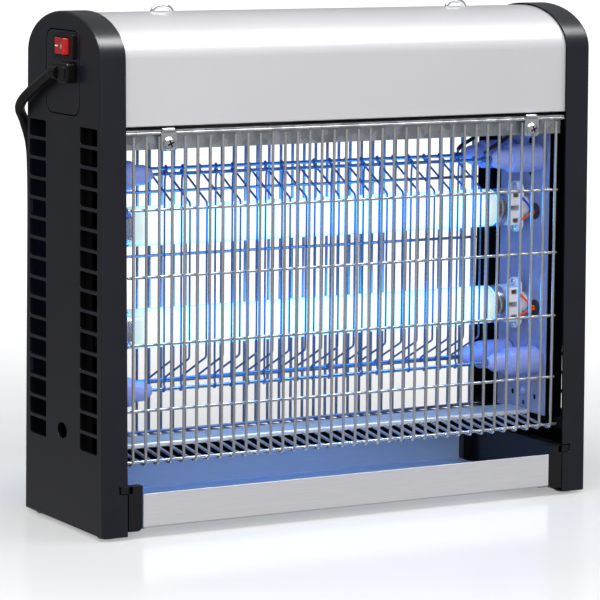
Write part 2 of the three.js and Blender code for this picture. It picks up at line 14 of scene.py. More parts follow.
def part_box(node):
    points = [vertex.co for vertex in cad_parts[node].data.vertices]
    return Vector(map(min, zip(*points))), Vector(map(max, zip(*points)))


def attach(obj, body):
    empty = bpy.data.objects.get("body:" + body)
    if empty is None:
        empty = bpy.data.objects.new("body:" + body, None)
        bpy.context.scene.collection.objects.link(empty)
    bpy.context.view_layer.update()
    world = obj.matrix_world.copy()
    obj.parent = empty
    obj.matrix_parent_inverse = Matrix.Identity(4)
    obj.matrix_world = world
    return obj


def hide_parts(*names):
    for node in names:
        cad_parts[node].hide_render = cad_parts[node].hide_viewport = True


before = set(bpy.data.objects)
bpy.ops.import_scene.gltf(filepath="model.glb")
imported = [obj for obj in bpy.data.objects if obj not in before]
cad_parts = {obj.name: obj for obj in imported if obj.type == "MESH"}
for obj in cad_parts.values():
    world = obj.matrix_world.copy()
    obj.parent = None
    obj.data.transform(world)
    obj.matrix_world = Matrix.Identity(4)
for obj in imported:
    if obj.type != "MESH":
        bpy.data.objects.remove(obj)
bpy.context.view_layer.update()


# ---------------------------------------------------------------- driving dimensions (mm)
left_box, right_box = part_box("left_end_cap"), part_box("right_end_cap")
CASE_X = (left_box[0].x + right_box[1].x) / 2 * 1000
CASE_Y = (left_box[0].y + left_box[1].y) / 2 * 1000
HALF_W = (right_box[1].x - left_box[0].x) * 500
LEFT_X = -HALF_W           # outer face of the left cap
TOP = left_box[1].z * 1000
RIM_X = 163.0              # open rim of the end caps
ARCH_Z = 300               # where the straight sides of caps and cover turn into the arch
SCREW_Z = 247.6            # guard clip screws
CLIP_X = {"left": -133.4, "right": 135.8}
BAIL_X = {"left": -111.5, "right": 108.3}
BAIL_HALF = 7.6            # from the middle of a bail to either leg
RAIL_Y = 17                # live grid rails stand this far in front of and behind the middle
RAIL_Z = {"upper": 224.6, "lower": 86.5}
LAMPS = (                  # level, lamp z, (y, z) of the grommets beside it
    ("upper", 190.0, (-13.8, 187.8)),
    ("lower", 124.0, (-16.0, 121.9)),
)
ENDS = (("right", 1), ("left", -1))    # name and sign of x
FACES = (("front", -1), ("rear", 1))   # name and sign of y
GUARD_FRAME = "front_guard_frame"


def place(x, y, z):
    """Case millimetres to the shared frame."""
    return Vector(((x + CASE_X) / 1000, (y + CASE_Y) / 1000, z / 1000))


def unplace(point):
    """The shared frame back to case millimetres."""
    return point.x * 1000 - CASE_X, point.y * 1000 - CASE_Y, point.z * 1000


# ---------------------------------------------------------------- glow strengths
LAMP_GLOW = 1.5                            # lamp glass as the camera sees it
LAMP_CAST = 5.8                            # light the lamps throw on the case
FLOOR_GLOW, FLOOR_GLOW_FAR = 0.31, 0.95    # floor as the camera sees it, near and far
# surroundings for every other ray: towards -y, towards +y, and added overhead
ENV_FRONT, ENV_BACK, ENV_TOP = 0.34, 0.16, 0.20
WHITE = (1, 1, 1)

# ---------------------------------------------------------------- shader helpers
FINISH = {}


def new_material(name):
    """An empty node tree, its material kept in FINISH."""
    material = bpy.data.materials.new(name)
    material.use_nodes = True
    material.node_tree.nodes.clear()
    FINISH[name] = material
    return material.node_tree


def node(tree, kind, inputs, **settings):
    """Adds a node and returns its outputs. An input takes a value or the socket feeding it."""
    made = tree.nodes.new("ShaderNode" + kind)
    for key, value in settings.items():
        setattr(made, key, value)
    for key, value in inputs.items():
        if isinstance(value, bpy.types.NodeSocket):
            tree.links.new(value, made.inputs[key])
        else:
            made.inputs[key].default_value = value
    return made.outputs


def ramp(tree, factor, stops):
    """A colour ramp through (position, rgb) stops."""
    made = tree.nodes.new("ShaderNodeValToRGB")
    elements = made.color_ramp.elements
    while len(elements) > 1:
        elements.remove(elements[-1])
    elements[0].position = stops[0][0]
    elements[0].color = (*stops[0][1], 1)
    for position, rgb in stops[1:]:
        elements.new(position).color = (*rgb, 1)
    tree.links.new(factor, made.inputs["Fac"])
    return made.outputs["Color"]


def coords(tree, scale=(1, 1, 1)):
    position = node(tree, "TexCoord", {})["Object"]
    return node(tree, "Mapping", {"Scale": scale, "Vector": position})["Vector"]


def split(tree, vector):
    return node(tree, "SeparateXYZ", {"Vector": vector})


def noise(tree, vector, scale, detail, rough=0.5):
    inputs = {"Scale": scale, "Detail": detail, "Roughness": rough, "Vector": vector}
    return node(tree, "TexNoise", inputs)["Fac"]


def remap(tree, value, to, source=(0, 1), **settings):
    inputs = {"Value": value, "From Min": source[0], "From Max": source[1],
              "To Min": to[0], "To Max": to[1]}
    return node(tree, "MapRange", inputs, **settings)["Result"]


def maths(tree, operation, *values):
    return node(tree, "Math", dict(enumerate(values)), operation=operation)["Value"]


def multiply(tree, first, second):
    inputs = {"Fac": 1.0, "Color1": first, "Color2": second}
    return node(tree, "MixRGB", inputs, blend_type="MULTIPLY")["Color"]


def bump(tree, height, strength):
    inputs = {"Strength": strength, "Distance": 0.0003, "Height": height}
    return node(tree, "Bump", inputs)["Normal"]


def by_ray(tree, camera, others):
    """One shader for camera rays, another for all the rest."""
    is_camera = node(tree, "LightPath", {})["Is Camera Ray"]
    return node(tree, "MixShader", {"Fac": is_camera, 1: others, 2: camera})["Shader"]


def output(tree, shader, kind="OutputMaterial"):
    node(tree, kind, {"Surface": shader})


# ---------------------------------------------------------------- materials
def surface(name, color, rough, metal=0.0, grain=900.0, grain_bump=0.05, vary=0.1,
            rough_vary=0.05, stretch=(1, 1, 1), coat=0.0, coat_rough=0.1, spec=0.5,
            smudge=40.0, crevice_shade=0.0):
    """Plastic, paint or metal with fine grain and broad smudges.

    grain and smudge are noise scales, vary and rough_vary the swing of colour and
    roughness, stretch scales the noise per axis, and crevice_shade paints shade into
    crevices, darkening them by ambient occlusion.
    """
    tree = new_material(name)
    position = coords(tree, stretch)
    fine = noise(tree, position, scale=grain, detail=6.0, rough=0.6)
    broad = noise(tree, position, scale=smudge, detail=3.0)
    dark = [v * (1 - vary) for v in color]
    light = [v * (1 + vary) for v in color]
    base = ramp(tree, broad, [(0.3, dark), (0.7, light)])
    speck = ramp(tree, fine, [(0.35, [0.94] * 3), (0.65, WHITE)])
    shade = multiply(tree, base, speck)
    # painted shade: ambient occlusion darkens crevices and the gaps between parts
    if crevice_shade:
        crevice = node(tree, "AmbientOcclusion", {"Distance": 0.004}, samples=4)["AO"]
        painted_crevice_shade = ramp(tree, crevice, [(0.0, [1 - crevice_shade] * 3), (0.8, WHITE)])
        shade = multiply(tree, shade, painted_crevice_shade)
    roughness = remap(tree, broad, to=(rough - rough_vary, rough + rough_vary))
    output(tree, node(tree, "BsdfPrincipled", {
        "Base Color": shade,
        "Roughness": roughness,
        "Metallic": metal,
        "Specular IOR Level": spec,
        "Coat Weight": coat,
        "Coat Roughness": coat_rough,
        "Normal": bump(tree, fine, grain_bump),
    })["BSDF"])


def zinc(name, low, high, metal):
    """Hot-dip sheet: spangle cells between two greys, each with its own roughness."""
    tree = new_material(name)
    position = coords(tree)
    cells = node(tree, "TexVoronoi", {"Scale": 190.0, "Vector": position})["Color"]
    cell = node(tree, "SeparateColor", {"Color": cells})
    output(tree, node(tree, "BsdfPrincipled", {
        "Base Color": ramp(tree, cell["Red"], [(0.0, low), (1.0, high)]),
        "Roughness": remap(tree, cell["Green"], to=(0.28, 0.46)),
        "Metallic": metal,
        "Normal": bump(tree, noise(tree, position, scale=900, detail=4), 0.05),
    })["BSDF"])


def lamp_glass():
    """Lit lamp glass: bright core, cyan towards the silhouette, dimmer by the cathodes."""
    tree = new_material("tube_glass")
    facing = node(tree, "LayerWeight", {"Blend": 0.35})["Facing"]
    tint = ramp(tree, facing, [
        (0.0, (0.84, 1.0, 1.0)), (0.5, (0.60, 0.95, 1.0)), (1.0, (0.16, 0.62, 1.0)),
    ])
    x = split(tree, node(tree, "TexCoord", {})["Object"])["X"]
    along = maths(tree, "ABSOLUTE", maths(tree, "SUBTRACT", x, CASE_X / 1000))
    # metres from the middle of the lamp where the dimming starts and ends
    dimming = remap(tree, along, source=(0.118, 0.1365), to=(1.0, 0.55),
                    interpolation_type="SMOOTHSTEP")
    mottle = noise(tree, coords(tree, (1, 6, 6)), scale=18, detail=2)
    level = maths(tree, "MULTIPLY", dimming, remap(tree, mottle, to=(0.92, 1.08)))
    strength = maths(tree, "MULTIPLY", level, LAMP_GLOW)
    glow = node(tree, "Emission", {"Color": tint, "Strength": strength})["Emission"]
    gloss = node(tree, "BsdfGlossy", {"Roughness": 0.08})["BSDF"]
    seen = node(tree, "MixShader", {"Fac": 0.04, 1: glow, 2: gloss})["Shader"]
    cast = node(tree, "Emission", {
        "Color": (0.07, 0.37, 1.0, 1.0), "Strength": LAMP_CAST,
    })["Emission"]
    output(tree, by_ray(tree, camera=seen, others=cast))


def studio_floor():
    """White sweep: bright to the camera, a dimmer front-to-back gradient in reflections."""
    tree = new_material("studio_floor")
    position = coords(tree)
    base = ramp(tree, noise(tree, position, scale=3.0, detail=2),
                [(0.3, (0.55, 0.552, 0.556)), (0.7, (0.56, 0.562, 0.566))])
    distance = node(tree, "VectorMath", {0: position}, operation="LENGTH")["Value"]
    seen = node(tree, "BsdfPrincipled", {
        "Base Color": base,
        "Roughness": 0.14,
        "Specular IOR Level": 0.45,
        "Emission Color": (1, 1, 1, 1),
        "Emission Strength": remap(tree, distance, source=(0.25, 1.1),
                                   to=(FLOOR_GLOW, FLOOR_GLOW_FAR)),
    })["BSDF"]
    strength = remap(tree, split(tree, position)["Y"], source=(-0.8, 0.8),
                     to=(ENV_FRONT, ENV_BACK))
    reflected = node(tree, "Emission", {"Strength": strength})["Emission"]
    output(tree, by_ray(tree, camera=seen, others=reflected))


def tint_along(name, axis, stops):
    """Multiplies a finish by a colour that runs along one axis, in (metres, rgb) stops."""
    tree = FINISH[name].node_tree
    shader = next(n for n in tree.nodes if n.type == "BSDF_PRINCIPLED")
    base = shader.inputs["Base Color"].links[0].from_socket
    low, high = stops[0][0], stops[-1][0]
    along = remap(tree, split(tree, coords(tree))[axis], source=(low, high), to=(0, 1))
    tint = ramp(tree, along, [((v - low) / (high - low), rgb) for v, rgb in stops])
    tree.links.new(multiply(tree, base, tint), shader.inputs["Base Color"])


ALONG_WIRE = (1, 1, 0.15)

surface("cap_plastic", color=(0.0070, 0.0075, 0.0125), rough=0.30, grain=1400,
        grain_bump=0.07, vary=0.12, rough_vary=0.03)
surface("switch_panel_plastic", color=(0.0075, 0.0080, 0.0130), rough=0.31, grain=1400,
        grain_bump=0.07, vary=0.12, rough_vary=0.03)
surface("cover_paint", color=(0.60, 0.595, 0.62), rough=0.32, metal=0.25, grain=2600,
        vary=0.015, rough_vary=0.02, coat=0.25, coat_rough=0.12, smudge=14)
zinc("zinc_sheet", low=(0.30, 0.31, 0.33), high=(0.52, 0.54, 0.57), metal=0.75)
zinc("floor_strip_zinc", low=(0.58, 0.62, 0.66), high=(0.74, 0.78, 0.82), metal=0.45)
# painted light: the zinc of the side plates is tinted blue for the lamp light falling on it
zinc("blue_lit_side_plate_zinc", low=(0.28, 0.33, 0.54), high=(0.33, 0.39, 0.62), metal=0.45)
surface("guard_wire", color=(0.66, 0.67, 0.69), rough=0.24, metal=0.9, grain=700,
        grain_bump=0.06, stretch=ALONG_WIRE, crevice_shade=0.35)
surface("screw_chrome", color=(0.82, 0.83, 0.85), rough=0.10, metal=1.0, grain=1200,
        grain_bump=0.02, vary=0.04, rough_vary=0.03)
surface("clip_plate", color=(0.62, 0.64, 0.67), rough=0.22, metal=0.9, vary=0.07, crevice_shade=0.3)
# painted shade: the rear guard uses the same wire as the front guard, darkened
surface("shaded_rear_guard_wire", color=(0.34, 0.36, 0.44), rough=0.28, metal=0.9, grain=700,
        grain_bump=0.06, stretch=ALONG_WIRE, crevice_shade=0.35)
# painted reflection: the bare grid wire is tinted blue for the lamp glow it reflects
surface("grid_wire", color=(0.19, 0.37, 0.66), rough=0.24, metal=0.95, vary=0.08,
        stretch=ALONG_WIRE)
surface("insulator_ceramic", color=(0.27, 0.35, 0.76), rough=0.35, grain=500,
        grain_bump=0.04, vary=0.04, crevice_shade=0.2)
surface("holder_plastic", color=(0.82, 0.83, 0.86), rough=0.42, grain=700,
        grain_bump=0.03, vary=0.04, crevice_shade=0.35)
surface("contact_brass", color=(0.62, 0.45, 0.20), rough=0.3, metal=1.0, grain=700,
        grain_bump=0.03, vary=0.06)
lamp_glass()
surface("lamp_cap_metal", color=(0.66, 0.68, 0.72), rough=0.24, metal=0.95,
        grain_bump=0.04, vary=0.05, stretch=(0.2, 1, 1))
surface("lamp_pins_brass", color=(0.74, 0.62, 0.36), rough=0.22, metal=1.0,
        grain_bump=0.02, vary=0.06)
surface("switch_black", color=(0.004, 0.004, 0.0045), rough=0.34, grain=1200, spec=0.4)
# painted shade: a near-black matt finish used inside the caps, beside the side plates and under
# the floor strip
surface("painted_shade_black", color=(0.0022, 0.0022, 0.0026), rough=0.7, vary=0.2, spec=0.05)
surface("seat_shadow", color=(0.002, 0.002, 0.002), rough=0.7, vary=0.2, spec=0.1)
surface("rocker_red", color=(0.36, 0.010, 0.008), rough=0.24, grain=1000, grain_bump=0.02,
        vary=0.05, coat=0.4, coat_rough=0.08)
surface("mark_white", color=(0.85, 0.85, 0.85), rough=0.4, grain=1500, vary=0.03)
surface("cord_pvc", color=(0.003, 0.003, 0.0033), rough=0.27, grain_bump=0.06, spec=0.35)
surface("hv_lead_sleeve", color=(0.010, 0.010, 0.012), rough=0.4)
surface("lead_blue", color=(0.02, 0.07, 0.55), rough=0.35, vary=0.08)
surface("lead_orange", color=(0.80, 0.10, 0.02), rough=0.35, vary=0.08)
surface("black_rubber", color=(0.022, 0.022, 0.023), rough=0.75, grain_bump=0.2, vary=0.12)
surface("tray_sheet", color=(0.66, 0.66, 0.695), rough=0.30, metal=0.38,
        grain_bump=0.04, vary=0.03, stretch=(0.05, 1, 1), crevice_shade=0.15)
surface("tray_plastic", color=(0.004, 0.004, 0.005), rough=0.33, grain=1400,
        grain_bump=0.08)
surface("module_potting", color=(0.03, 0.032, 0.038), rough=0.6, grain=300,
        grain_bump=0.2, vary=0.15)
surface("ballast_case", color=(0.62, 0.60, 0.52), rough=0.5, grain=500,
        grain_bump=0.06, vary=0.06)
surface("brass_blade", color=(0.72, 0.60, 0.34), rough=0.25, metal=1.0,
        grain_bump=0.03, vary=0.06)
studio_floor()

# painted lamp light and shade: the trough of the tray is tinted bluer than its bright front
# flange and darker towards the rear
tint_along("tray_sheet", "Y", [
    (-0.0720, WHITE), (-0.0702, WHITE), (-0.0692, (0.88, 1.04, 1.26)),
    (-0.020, (0.80, 0.97, 1.22)), (0.043, (0.60, 0.77, 0.98)),
])


# ---------------------------------------------------------------- outlines and paths
def side_span(side, near, far):
    """The span between two distances on one side of the middle, low end first."""
    return sorted((side * near, side * far))


def rod(radius, low, high):
    """Turning profile of a plain cylinder."""
    return [(0, low), (radius, low), (radius, high), (0, high)]


def quarter_ellipse(half_width, height, steps):
    """(y, z) from the arch line on the +y side up to the crown."""
    angles = [math.pi / 2 * i / steps for i in range(steps + 1)]
    return [(half_width * math.cos(t), ARCH_Z + height * math.sin(t)) for t in angles]


def over_the_top(half):
    """Completes a (y, z) outline whose last point is on the middle."""
    return half + [(-y, z) for y, z in half[-2::-1]]


def across_middle(half):
    """Completes a (y, z) outline that crosses the middle in a straight run."""
    return half + [(-y, z) for y, z in half[::-1]]


def rounded_rect(a0, a1, b0, b1, radius, steps=6):
    corners = ((a1 - radius, b1 - radius), (a0 + radius, b1 - radius),
               (a0 + radius, b0 + radius), (a1 - radius, b0 + radius))
    out = []
    for quarter, (a, b) in enumerate(corners):
        for i in range(steps + 1):
            t = (quarter + i / steps) * math.pi / 2
            out.append((a + radius * math.cos(t), b + radius * math.sin(t)))
    return out


def sheet_strip(points, thickness):
    """A folded sheet section along a polyline of (y, z)."""
    points = [Vector(p) for p in points]
    runs = [(b - a).normalized() for a, b in zip(points, points[1:])]
    normals = [Vector((-run.y, run.x)) for run in runs]
    left, right = [], []
    for i, point in enumerate(points):
        before, after = normals[max(i - 1, 0)], normals[min(i, len(normals) - 1)]
        across, stretch = before, 1.0
        if before is not after:
            across = (before + after).normalized()
            stretch = 1 / max(0.35, across.dot(before))
        left.append(point + across * thickness / 2 * stretch)
        right.append(point - across * thickness / 2 * stretch)
    return [(v.x, v.y) for v in left + right[::-1]]


def fillet(points, radius, steps=5):
    """Rounds the inner corners of a polyline with short arcs."""
    points = [Vector(p) for p in points]
    out = [points[0]]
    for a, corner, c in zip(points, points[1:], points[2:]):
        back, ahead = a - corner, c - corner
        reach = min(radius, back.length * 0.48, ahead.length * 0.48)
        start = corner + back.normalized() * reach
        end = corner + ahead.normalized() * reach
        for i in range(steps + 1):
            t = i / steps
            out.append((1 - t) ** 2 * start + 2 * t * (1 - t) * corner + t * t * end)
    out.append(points[-1])
    return out


def spline(points, steps):
    """A smooth curve through the points."""
    points = [Vector(p) for p in points]
    padded = [points[0] * 2 - points[1]] + points + [points[-1] * 2 - points[-2]]
    out = []
    for p0, p1, p2, p3 in zip(padded, padded[1:], padded[2:], padded[3:]):
        for k in range(steps):
            t = k / steps
            out.append(0.5 * ((2 * p1) + (-p0 + p2) * t
                              + (2 * p0 - 5 * p1 + 4 * p2 - p3) * t * t
                              + (-p0 + 3 * p1 - 3 * p2 + p3) * t ** 3))
    out.append(points[-1])
    return out


# ---------------------------------------------------------------- mesh helpers
def on_axis(axis, a, b, height):
    """Puts a flat point (a, b) at a height along x, y or z."""
    return {"x": (height, a, b), "y": (a, height, b), "z": (a, b, height)}[axis]


def skin(mesh, first, second):
    """Quads between two rings of vertices."""
    for i in range(len(first)):
        j = (i + 1) % len(first)
        mesh.faces.new((first[i], first[j], second[j], second[i]))


def add_box(mesh, x_span, y_span, z_span):
    corners = [mesh.verts.new((x, y, z)) for x in x_span for y in y_span for z in z_span]
    for quad in ((0, 1, 3, 2), (4, 6, 7, 5), (0, 4, 5, 1), (2, 3, 7, 6), (0, 2, 6, 4),
                 (1, 5, 7, 3)):
        mesh.faces.new([corners[i] for i in quad])


def add_prism(mesh, axis, outline, low, high):
    """A closed outline pushed between two heights; it holds the other two axes in order."""
    bottom = [mesh.verts.new(on_axis(axis, a, b, low)) for a, b in outline]
    top = [mesh.verts.new(on_axis(axis, a, b, high)) for a, b in outline]
    skin(mesh, bottom, top)
    mesh.faces.new(bottom[::-1])
    mesh.faces.new(top)


def add_loft(mesh, rings, loop=False):
    """Skins rings of points in order, capped at both ends unless they close in a loop."""
    rings = [[mesh.verts.new(p) for p in ring] for ring in rings]
    for a, b in zip(rings, rings[1:] + rings[:1] if loop else rings[1:]):
        skin(mesh, a, b)
    if not loop:
        mesh.faces.new(rings[0][::-1])
        mesh.faces.new(rings[-1])


def add_turned(mesh, axis, profile, at=(0, 0, 0), sides=32, loop=False):
    """A (radius, height) profile turned about an axis through a point."""
    rings = []
    for radius, height in profile:
        radius = max(radius, 1e-4)
        ring = []
        for i in range(sides):
            t = 2 * math.pi * i / sides
            point = on_axis(axis, radius * math.cos(t), radius * math.sin(t), height)
            ring.append(tuple(p + q for p, q in zip(point, at)))
        rings.append(ring)
    add_loft(mesh, rings, loop)


def dome(ring, centre, direction, radius):
    """Three shrinking rings that round off the end of a tube."""
    return [[centre + (v - centre) * shrink + direction * radius * lift for v in ring]
            for lift, shrink in ((0.35, 0.94), (0.7, 0.71), (0.93, 0.36))]


def add_tube(mesh, path, radius, sides=10, rounded_ends=False):
    path = [Vector(p) for p in path]
    points = [path[0]]
    for p in path[1:]:
        if (p - points[-1]).length > 1e-4:
            points.append(p)
    tangents = []
    for i, point in enumerate(points):
        tangent = Vector((0, 0, 0))
        if i > 0:
            tangent += (point - points[i - 1]).normalized()
        if i < len(points) - 1:
            tangent += (points[i + 1] - point).normalized()
        tangents.append(tangent.normalized())
    previous = tangents[0]
    reference = Vector((0, 0, 1)) if abs(previous.z) < 0.9 else Vector((1, 0, 0))
    across = previous.cross(reference).normalized()
    angles = [2 * math.pi * k / sides for k in range(sides)]
    rings = []
    for point, tangent in zip(points, tangents):
        across = (previous.rotation_difference(tangent) @ across).normalized()
        other = tangent.cross(across).normalized()
        rings.append([point + (across * math.cos(a) + other * math.sin(a)) * radius
                      for a in angles])
        previous = tangent
    if rounded_ends:
        head = dome(rings[0], points[0], -tangents[0], radius)[::-1]
        tail = dome(rings[-1], points[-1], tangents[-1], radius)
        rings = head + rings + tail
    add_loft(mesh, rings)


def solid(add, *args, **options):
    """A new mesh holding the result of one add_ function."""
    mesh = bmesh.new()
    add(mesh, *args, **options)
    return mesh


def join(mesh, extra):
    """Moves the geometry of one mesh into another."""
    data = bpy.data.meshes.new("tmp")
    extra.to_mesh(data)
    extra.free()
    mesh.from_mesh(data)
    bpy.data.meshes.remove(data)


def mirrored(mesh, x=False, y=False):
    for v in mesh.verts:
        if x:
            v.co.x = -v.co.x
        if y:
            v.co.y = -v.co.y
    if x != y:
        bmesh.ops.reverse_faces(mesh, faces=mesh.faces)
    return mesh


def new_object(name, mesh, placed=True):
    """Links a millimetre mesh as an object, moved to the shared frame if placed."""
    bmesh.ops.recalc_face_normals(mesh, faces=mesh.faces)
    if placed:
        for v in mesh.verts:
            v.co = place(*v.co)
    data = bpy.data.meshes.new(name)
    mesh.to_mesh(data)
    mesh.free()
    obj = bpy.data.objects.new(name, data)
    bpy.context.scene.collection.objects.link(obj)
    return obj


def evaluated_mesh(obj):
    graph = bpy.context.evaluated_depsgraph_get()
    graph.update()
    return bpy.data.meshes.new_from_object(obj.evaluated_get(graph))


def carve(body, *cutters):
    """Body minus the cutters, as a new millimetre mesh."""
    body = new_object("tmp_body", body, placed=False)
    helpers = []
    for i, cutter in enumerate(cutters):
        helper = new_object("tmp_cut%d" % i, cutter, placed=False)
        helpers.append(helper)
        cut = body.modifiers.new("cut%d" % i, "BOOLEAN")
        cut.operation = "DIFFERENCE"
        cut.solver = "EXACT"
        cut.object = helper
    data = evaluated_mesh(body)
    mesh = bmesh.new()
    mesh.from_mesh(data)
    bpy.data.meshes.remove(data)
    for obj in [body, *helpers]:
        data = obj.data
        bpy.data.objects.remove(obj)
        bpy.data.meshes.remove(data)
    bmesh.ops.remove_doubles(mesh, verts=mesh.verts, dist=1e-4)
    bmesh.ops.dissolve_limit(mesh, angle_limit=math.radians(0.5), verts=mesh.verts,
                             edges=mesh.edges)
    return mesh


def apply_modifiers(obj):
    data = evaluated_mesh(obj)
    old = obj.data
    obj.modifiers.clear()
    obj.data = data
    bpy.data.meshes.remove(old)


def smooth_by_angle(data, degrees):
    mesh = bmesh.new()
    mesh.from_mesh(data)
    limit = math.radians(degrees)
    for edge in mesh.edges:
        edge.smooth = len(edge.link_faces) == 2 and edge.calc_face_angle(0.0) < limit
    for face in mesh.faces:
        face.smooth = True
    mesh.to_mesh(data)
    mesh.free()


def piece(name, mesh, material, replaces=None, body="housing", smooth=40.0,
          bevel=0.0, segments=2, bevel_angle=35.0):
    """Finishes a mesh as an object with the given material, attaches it to its body and hides
    the part it replaces.
    """
    bmesh.ops.remove_doubles(mesh, verts=mesh.verts, dist=1e-5)
    obj = new_object(name, mesh)
    obj.data.materials.append(FINISH[material])
    if bevel:
        edge = obj.modifiers.new("edge", "BEVEL")
        edge.width = bevel / 1000
        edge.segments = segments
        edge.limit_method = "ANGLE"
        edge.angle_limit = math.radians(bevel_angle)
        edge.harden_normals = False
        apply_modifiers(obj)
    smooth_by_angle(obj.data, smooth)
    normals = obj.modifiers.new("normals", "WEIGHTED_NORMAL")
    normals.keep_sharp = True
    normals.weight = 70
    apply_modifiers(obj)
    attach(obj, body)
    if replaces:
        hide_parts(replaces)
    return obj


# ---------------------------------------------------------------- end caps
CAP_FOOT_Z = 2.0
CAP_HALF_FOOT = 57.5       # half depth at the foot
CAP_HALF_ARCH = 53.0       # half depth where the arch starts
CAP_EDGE_R = 1.7           # rounding around the outer face
THROUGH_CAP = (HALF_W - 4, HALF_W + 2)
VENT_ROWS, VENT_TOP, VENT_PITCH, VENT_H = 16, 257.3, 12.86, 10.7


def cap_half(z):
    """Half depth of a cap at a height below the arch."""
    taper = (CAP_HALF_ARCH - CAP_HALF_FOOT) * (z - CAP_FOOT_Z) / (ARCH_Z - CAP_FOOT_Z)
    return CAP_HALF_FOOT + taper


def cap_ring(x, inset, top_inset, foot_z):
    """Cap outline at x: tapering sides and an elliptical top, from the +y foot over the top."""
    foot = cap_half(foot_z) - inset
    arch_half = CAP_HALF_ARCH - inset
    half = [(foot + (arch_half - foot) * k, foot_z + (ARCH_Z - foot_z) * k)
            for k in (0, 0.33, 0.66)]
    half += quarter_ellipse(arch_half, TOP - ARCH_Z - top_inset, 36)
    return [(x, y, z) for y, z in over_the_top(half)]


def cap_cup():
    """Right cap as a closed cup, open towards the middle."""
    outer = [(RIM_X, 0.45), (RIM_X + 0.13, 0.13), (RIM_X + 0.45, 0.0)]    # x, inset
    for i in range(7):
        a = math.pi / 2 * i / 6
        outer.append((HALF_W - CAP_EDGE_R + CAP_EDGE_R * math.sin(a),
                      CAP_EDGE_R - CAP_EDGE_R * math.cos(a)))
    inner = [    # x, inset, inset at the crown, foot z
        (HALF_W - 2.5, 2.3, 1.1, 4.4), (RIM_X + 0.4, 2.3, 1.1, 4.4), (RIM_X, 1.95, 0.9, 4.0),
    ]
    mesh = bmesh.new()
    outside = [[mesh.verts.new(p) for p in cap_ring(x, inset, inset, CAP_FOOT_Z + inset)]
               for x, inset in outer]
    inside = [[mesh.verts.new(p) for p in cap_ring(*station)] for station in inner]
    for a, b in zip(outside, outside[1:]):
        skin(mesh, a, b)
    mesh.faces.new(outside[-1])
    mesh.faces.new(inside[0][::-1])
    for a, b in zip(inside, inside[1:]):
        skin(mesh, a, b)
    skin(mesh, inside[-1], outside[0])
    return mesh


def vent_cutter():
    """Two columns of slots and the oval hole below them."""
    mesh = bmesh.new()
    for i in range(VENT_ROWS):
        top = VENT_TOP - VENT_PITCH * i
        for side in (-1, 1):
            slot = rounded_rect(*side_span(side, 25.0, 49.4), top - VENT_H, top, 1.1, 3)
            add_prism(mesh, "x", slot, *THROUGH_CAP)
    angles = [2 * math.pi * i / 32 for i in range(32)]
    oval = [(1 + 6.85 * math.cos(t), 62 + 5.1 * math.sin(t)) for t in angles]
    add_prism(mesh, "x", oval, *THROUGH_CAP)
    return mesh


def notch_cutter():
    """Notches in the front and rear edges of the rim."""
    mesh = bmesh.new()
    for side in (-1, 1):
        add_box(mesh, (RIM_X - 1, 169), side_span(side, 50.0, 60.0), (28.9, 34.4))
    return mesh


def cap_fittings():
    """Ribs and blades at the vent columns, guard pivot blocks, tray runner, upright plate."""
    mesh = bmesh.new()
    for side in (-1, 1):
        add_box(mesh, (171.3, HALF_W - 2.4), side_span(side, 23.2, 24.7), (50, 261))
        add_box(mesh, (176.3, 177.1), side_span(side, 24.5, 33.5), (50, 261))
        add_box(mesh, (RIM_X + 0.6, 170), side_span(side, 44.2, 54.4), (43.8, 51.2))
    add_box(mesh, (RIM_X + 0.4, HALF_W - 2.3), (-54.2, 54.2), (26.4, 28.7))
    add_box(mesh, (168.6, 170.0), (-13, 27), (49, 76))
    return mesh


def shade_cap_inside(obj):
    """Painted shade: a near-black matt finish on the faces that look into the cap."""
    obj.data.materials.append(FINISH["painted_shade_black"])
    for face in obj.data.polygons:
        x, y, z = unplace(face.center)
        if abs(x) > HALF_W - 1.2:
            continue
        if z > ARCH_Z:
            radial = (y / CAP_HALF_ARCH) ** 2 + ((z - ARCH_Z) / (TOP - ARCH_Z)) ** 2
            inside = radial < 0.95
        else:
            inside = abs(y) < cap_half(z) - 1.2 and z > 3.0
        if inside:
            face.material_index = 1


for end, sign in ENDS:
    cutters = [vent_cutter(), notch_cutter()]
    if sign < 0:    # opening for the switch panel
        opening = rounded_rect(-24.5, 24.5, 263.1, 316.5, 8.5, 8)
        cutters.append(solid(add_prism, "x", opening, *THROUGH_CAP))
    mesh = carve(cap_cup(), *cutters)
    join(mesh, cap_fittings())
    shade_cap_inside(piece(end + "_cap_shell", mirrored(mesh, x=sign < 0), "cap_plastic",
                   end + "_end_cap", bevel=0.35, bevel_angle=40, smooth=38))

# ---------------------------------------------------------------- switch panel and switch
SWITCH_Y, SWITCH_Z = -5.5, 306.4
CORD_X, CORD_Z = -186.0, 289.9     # where the cord leaves the strain relief
PADDLE_TILT = math.radians(7)      # rear half pressed in
PADDLE_X = -181.6
CREST_Y, CREST_X = 0.5, -3.75      # flat middle of the paddle, before tilting
HORN_Y, HORN_X = 6.8, -4.85        # outer ends of its two facets
PADDLE = [                         # (y, x) about the pivot
    (-8.15, -3.9), (-7.7, -4.75), (-HORN_Y, HORN_X), (-CREST_Y, CREST_X),
    (CREST_Y, CREST_X), (HORN_Y, HORN_X), (7.7, -4.75), (8.15, -3.9),
    (8.15, 1.2), (3.2, 3.4), (-3.2, 3.4), (-8.15, 1.2),
]
MARK_FACES = (-0.05, 0.07)         # buried and printed face of a mark, above the facet


def around_switch(half_y, half_z):
    """(y, z) spans centred on the switch."""
    return ((SWITCH_Y - half_y, SWITCH_Y + half_y), (SWITCH_Z - half_z, SWITCH_Z + half_z))


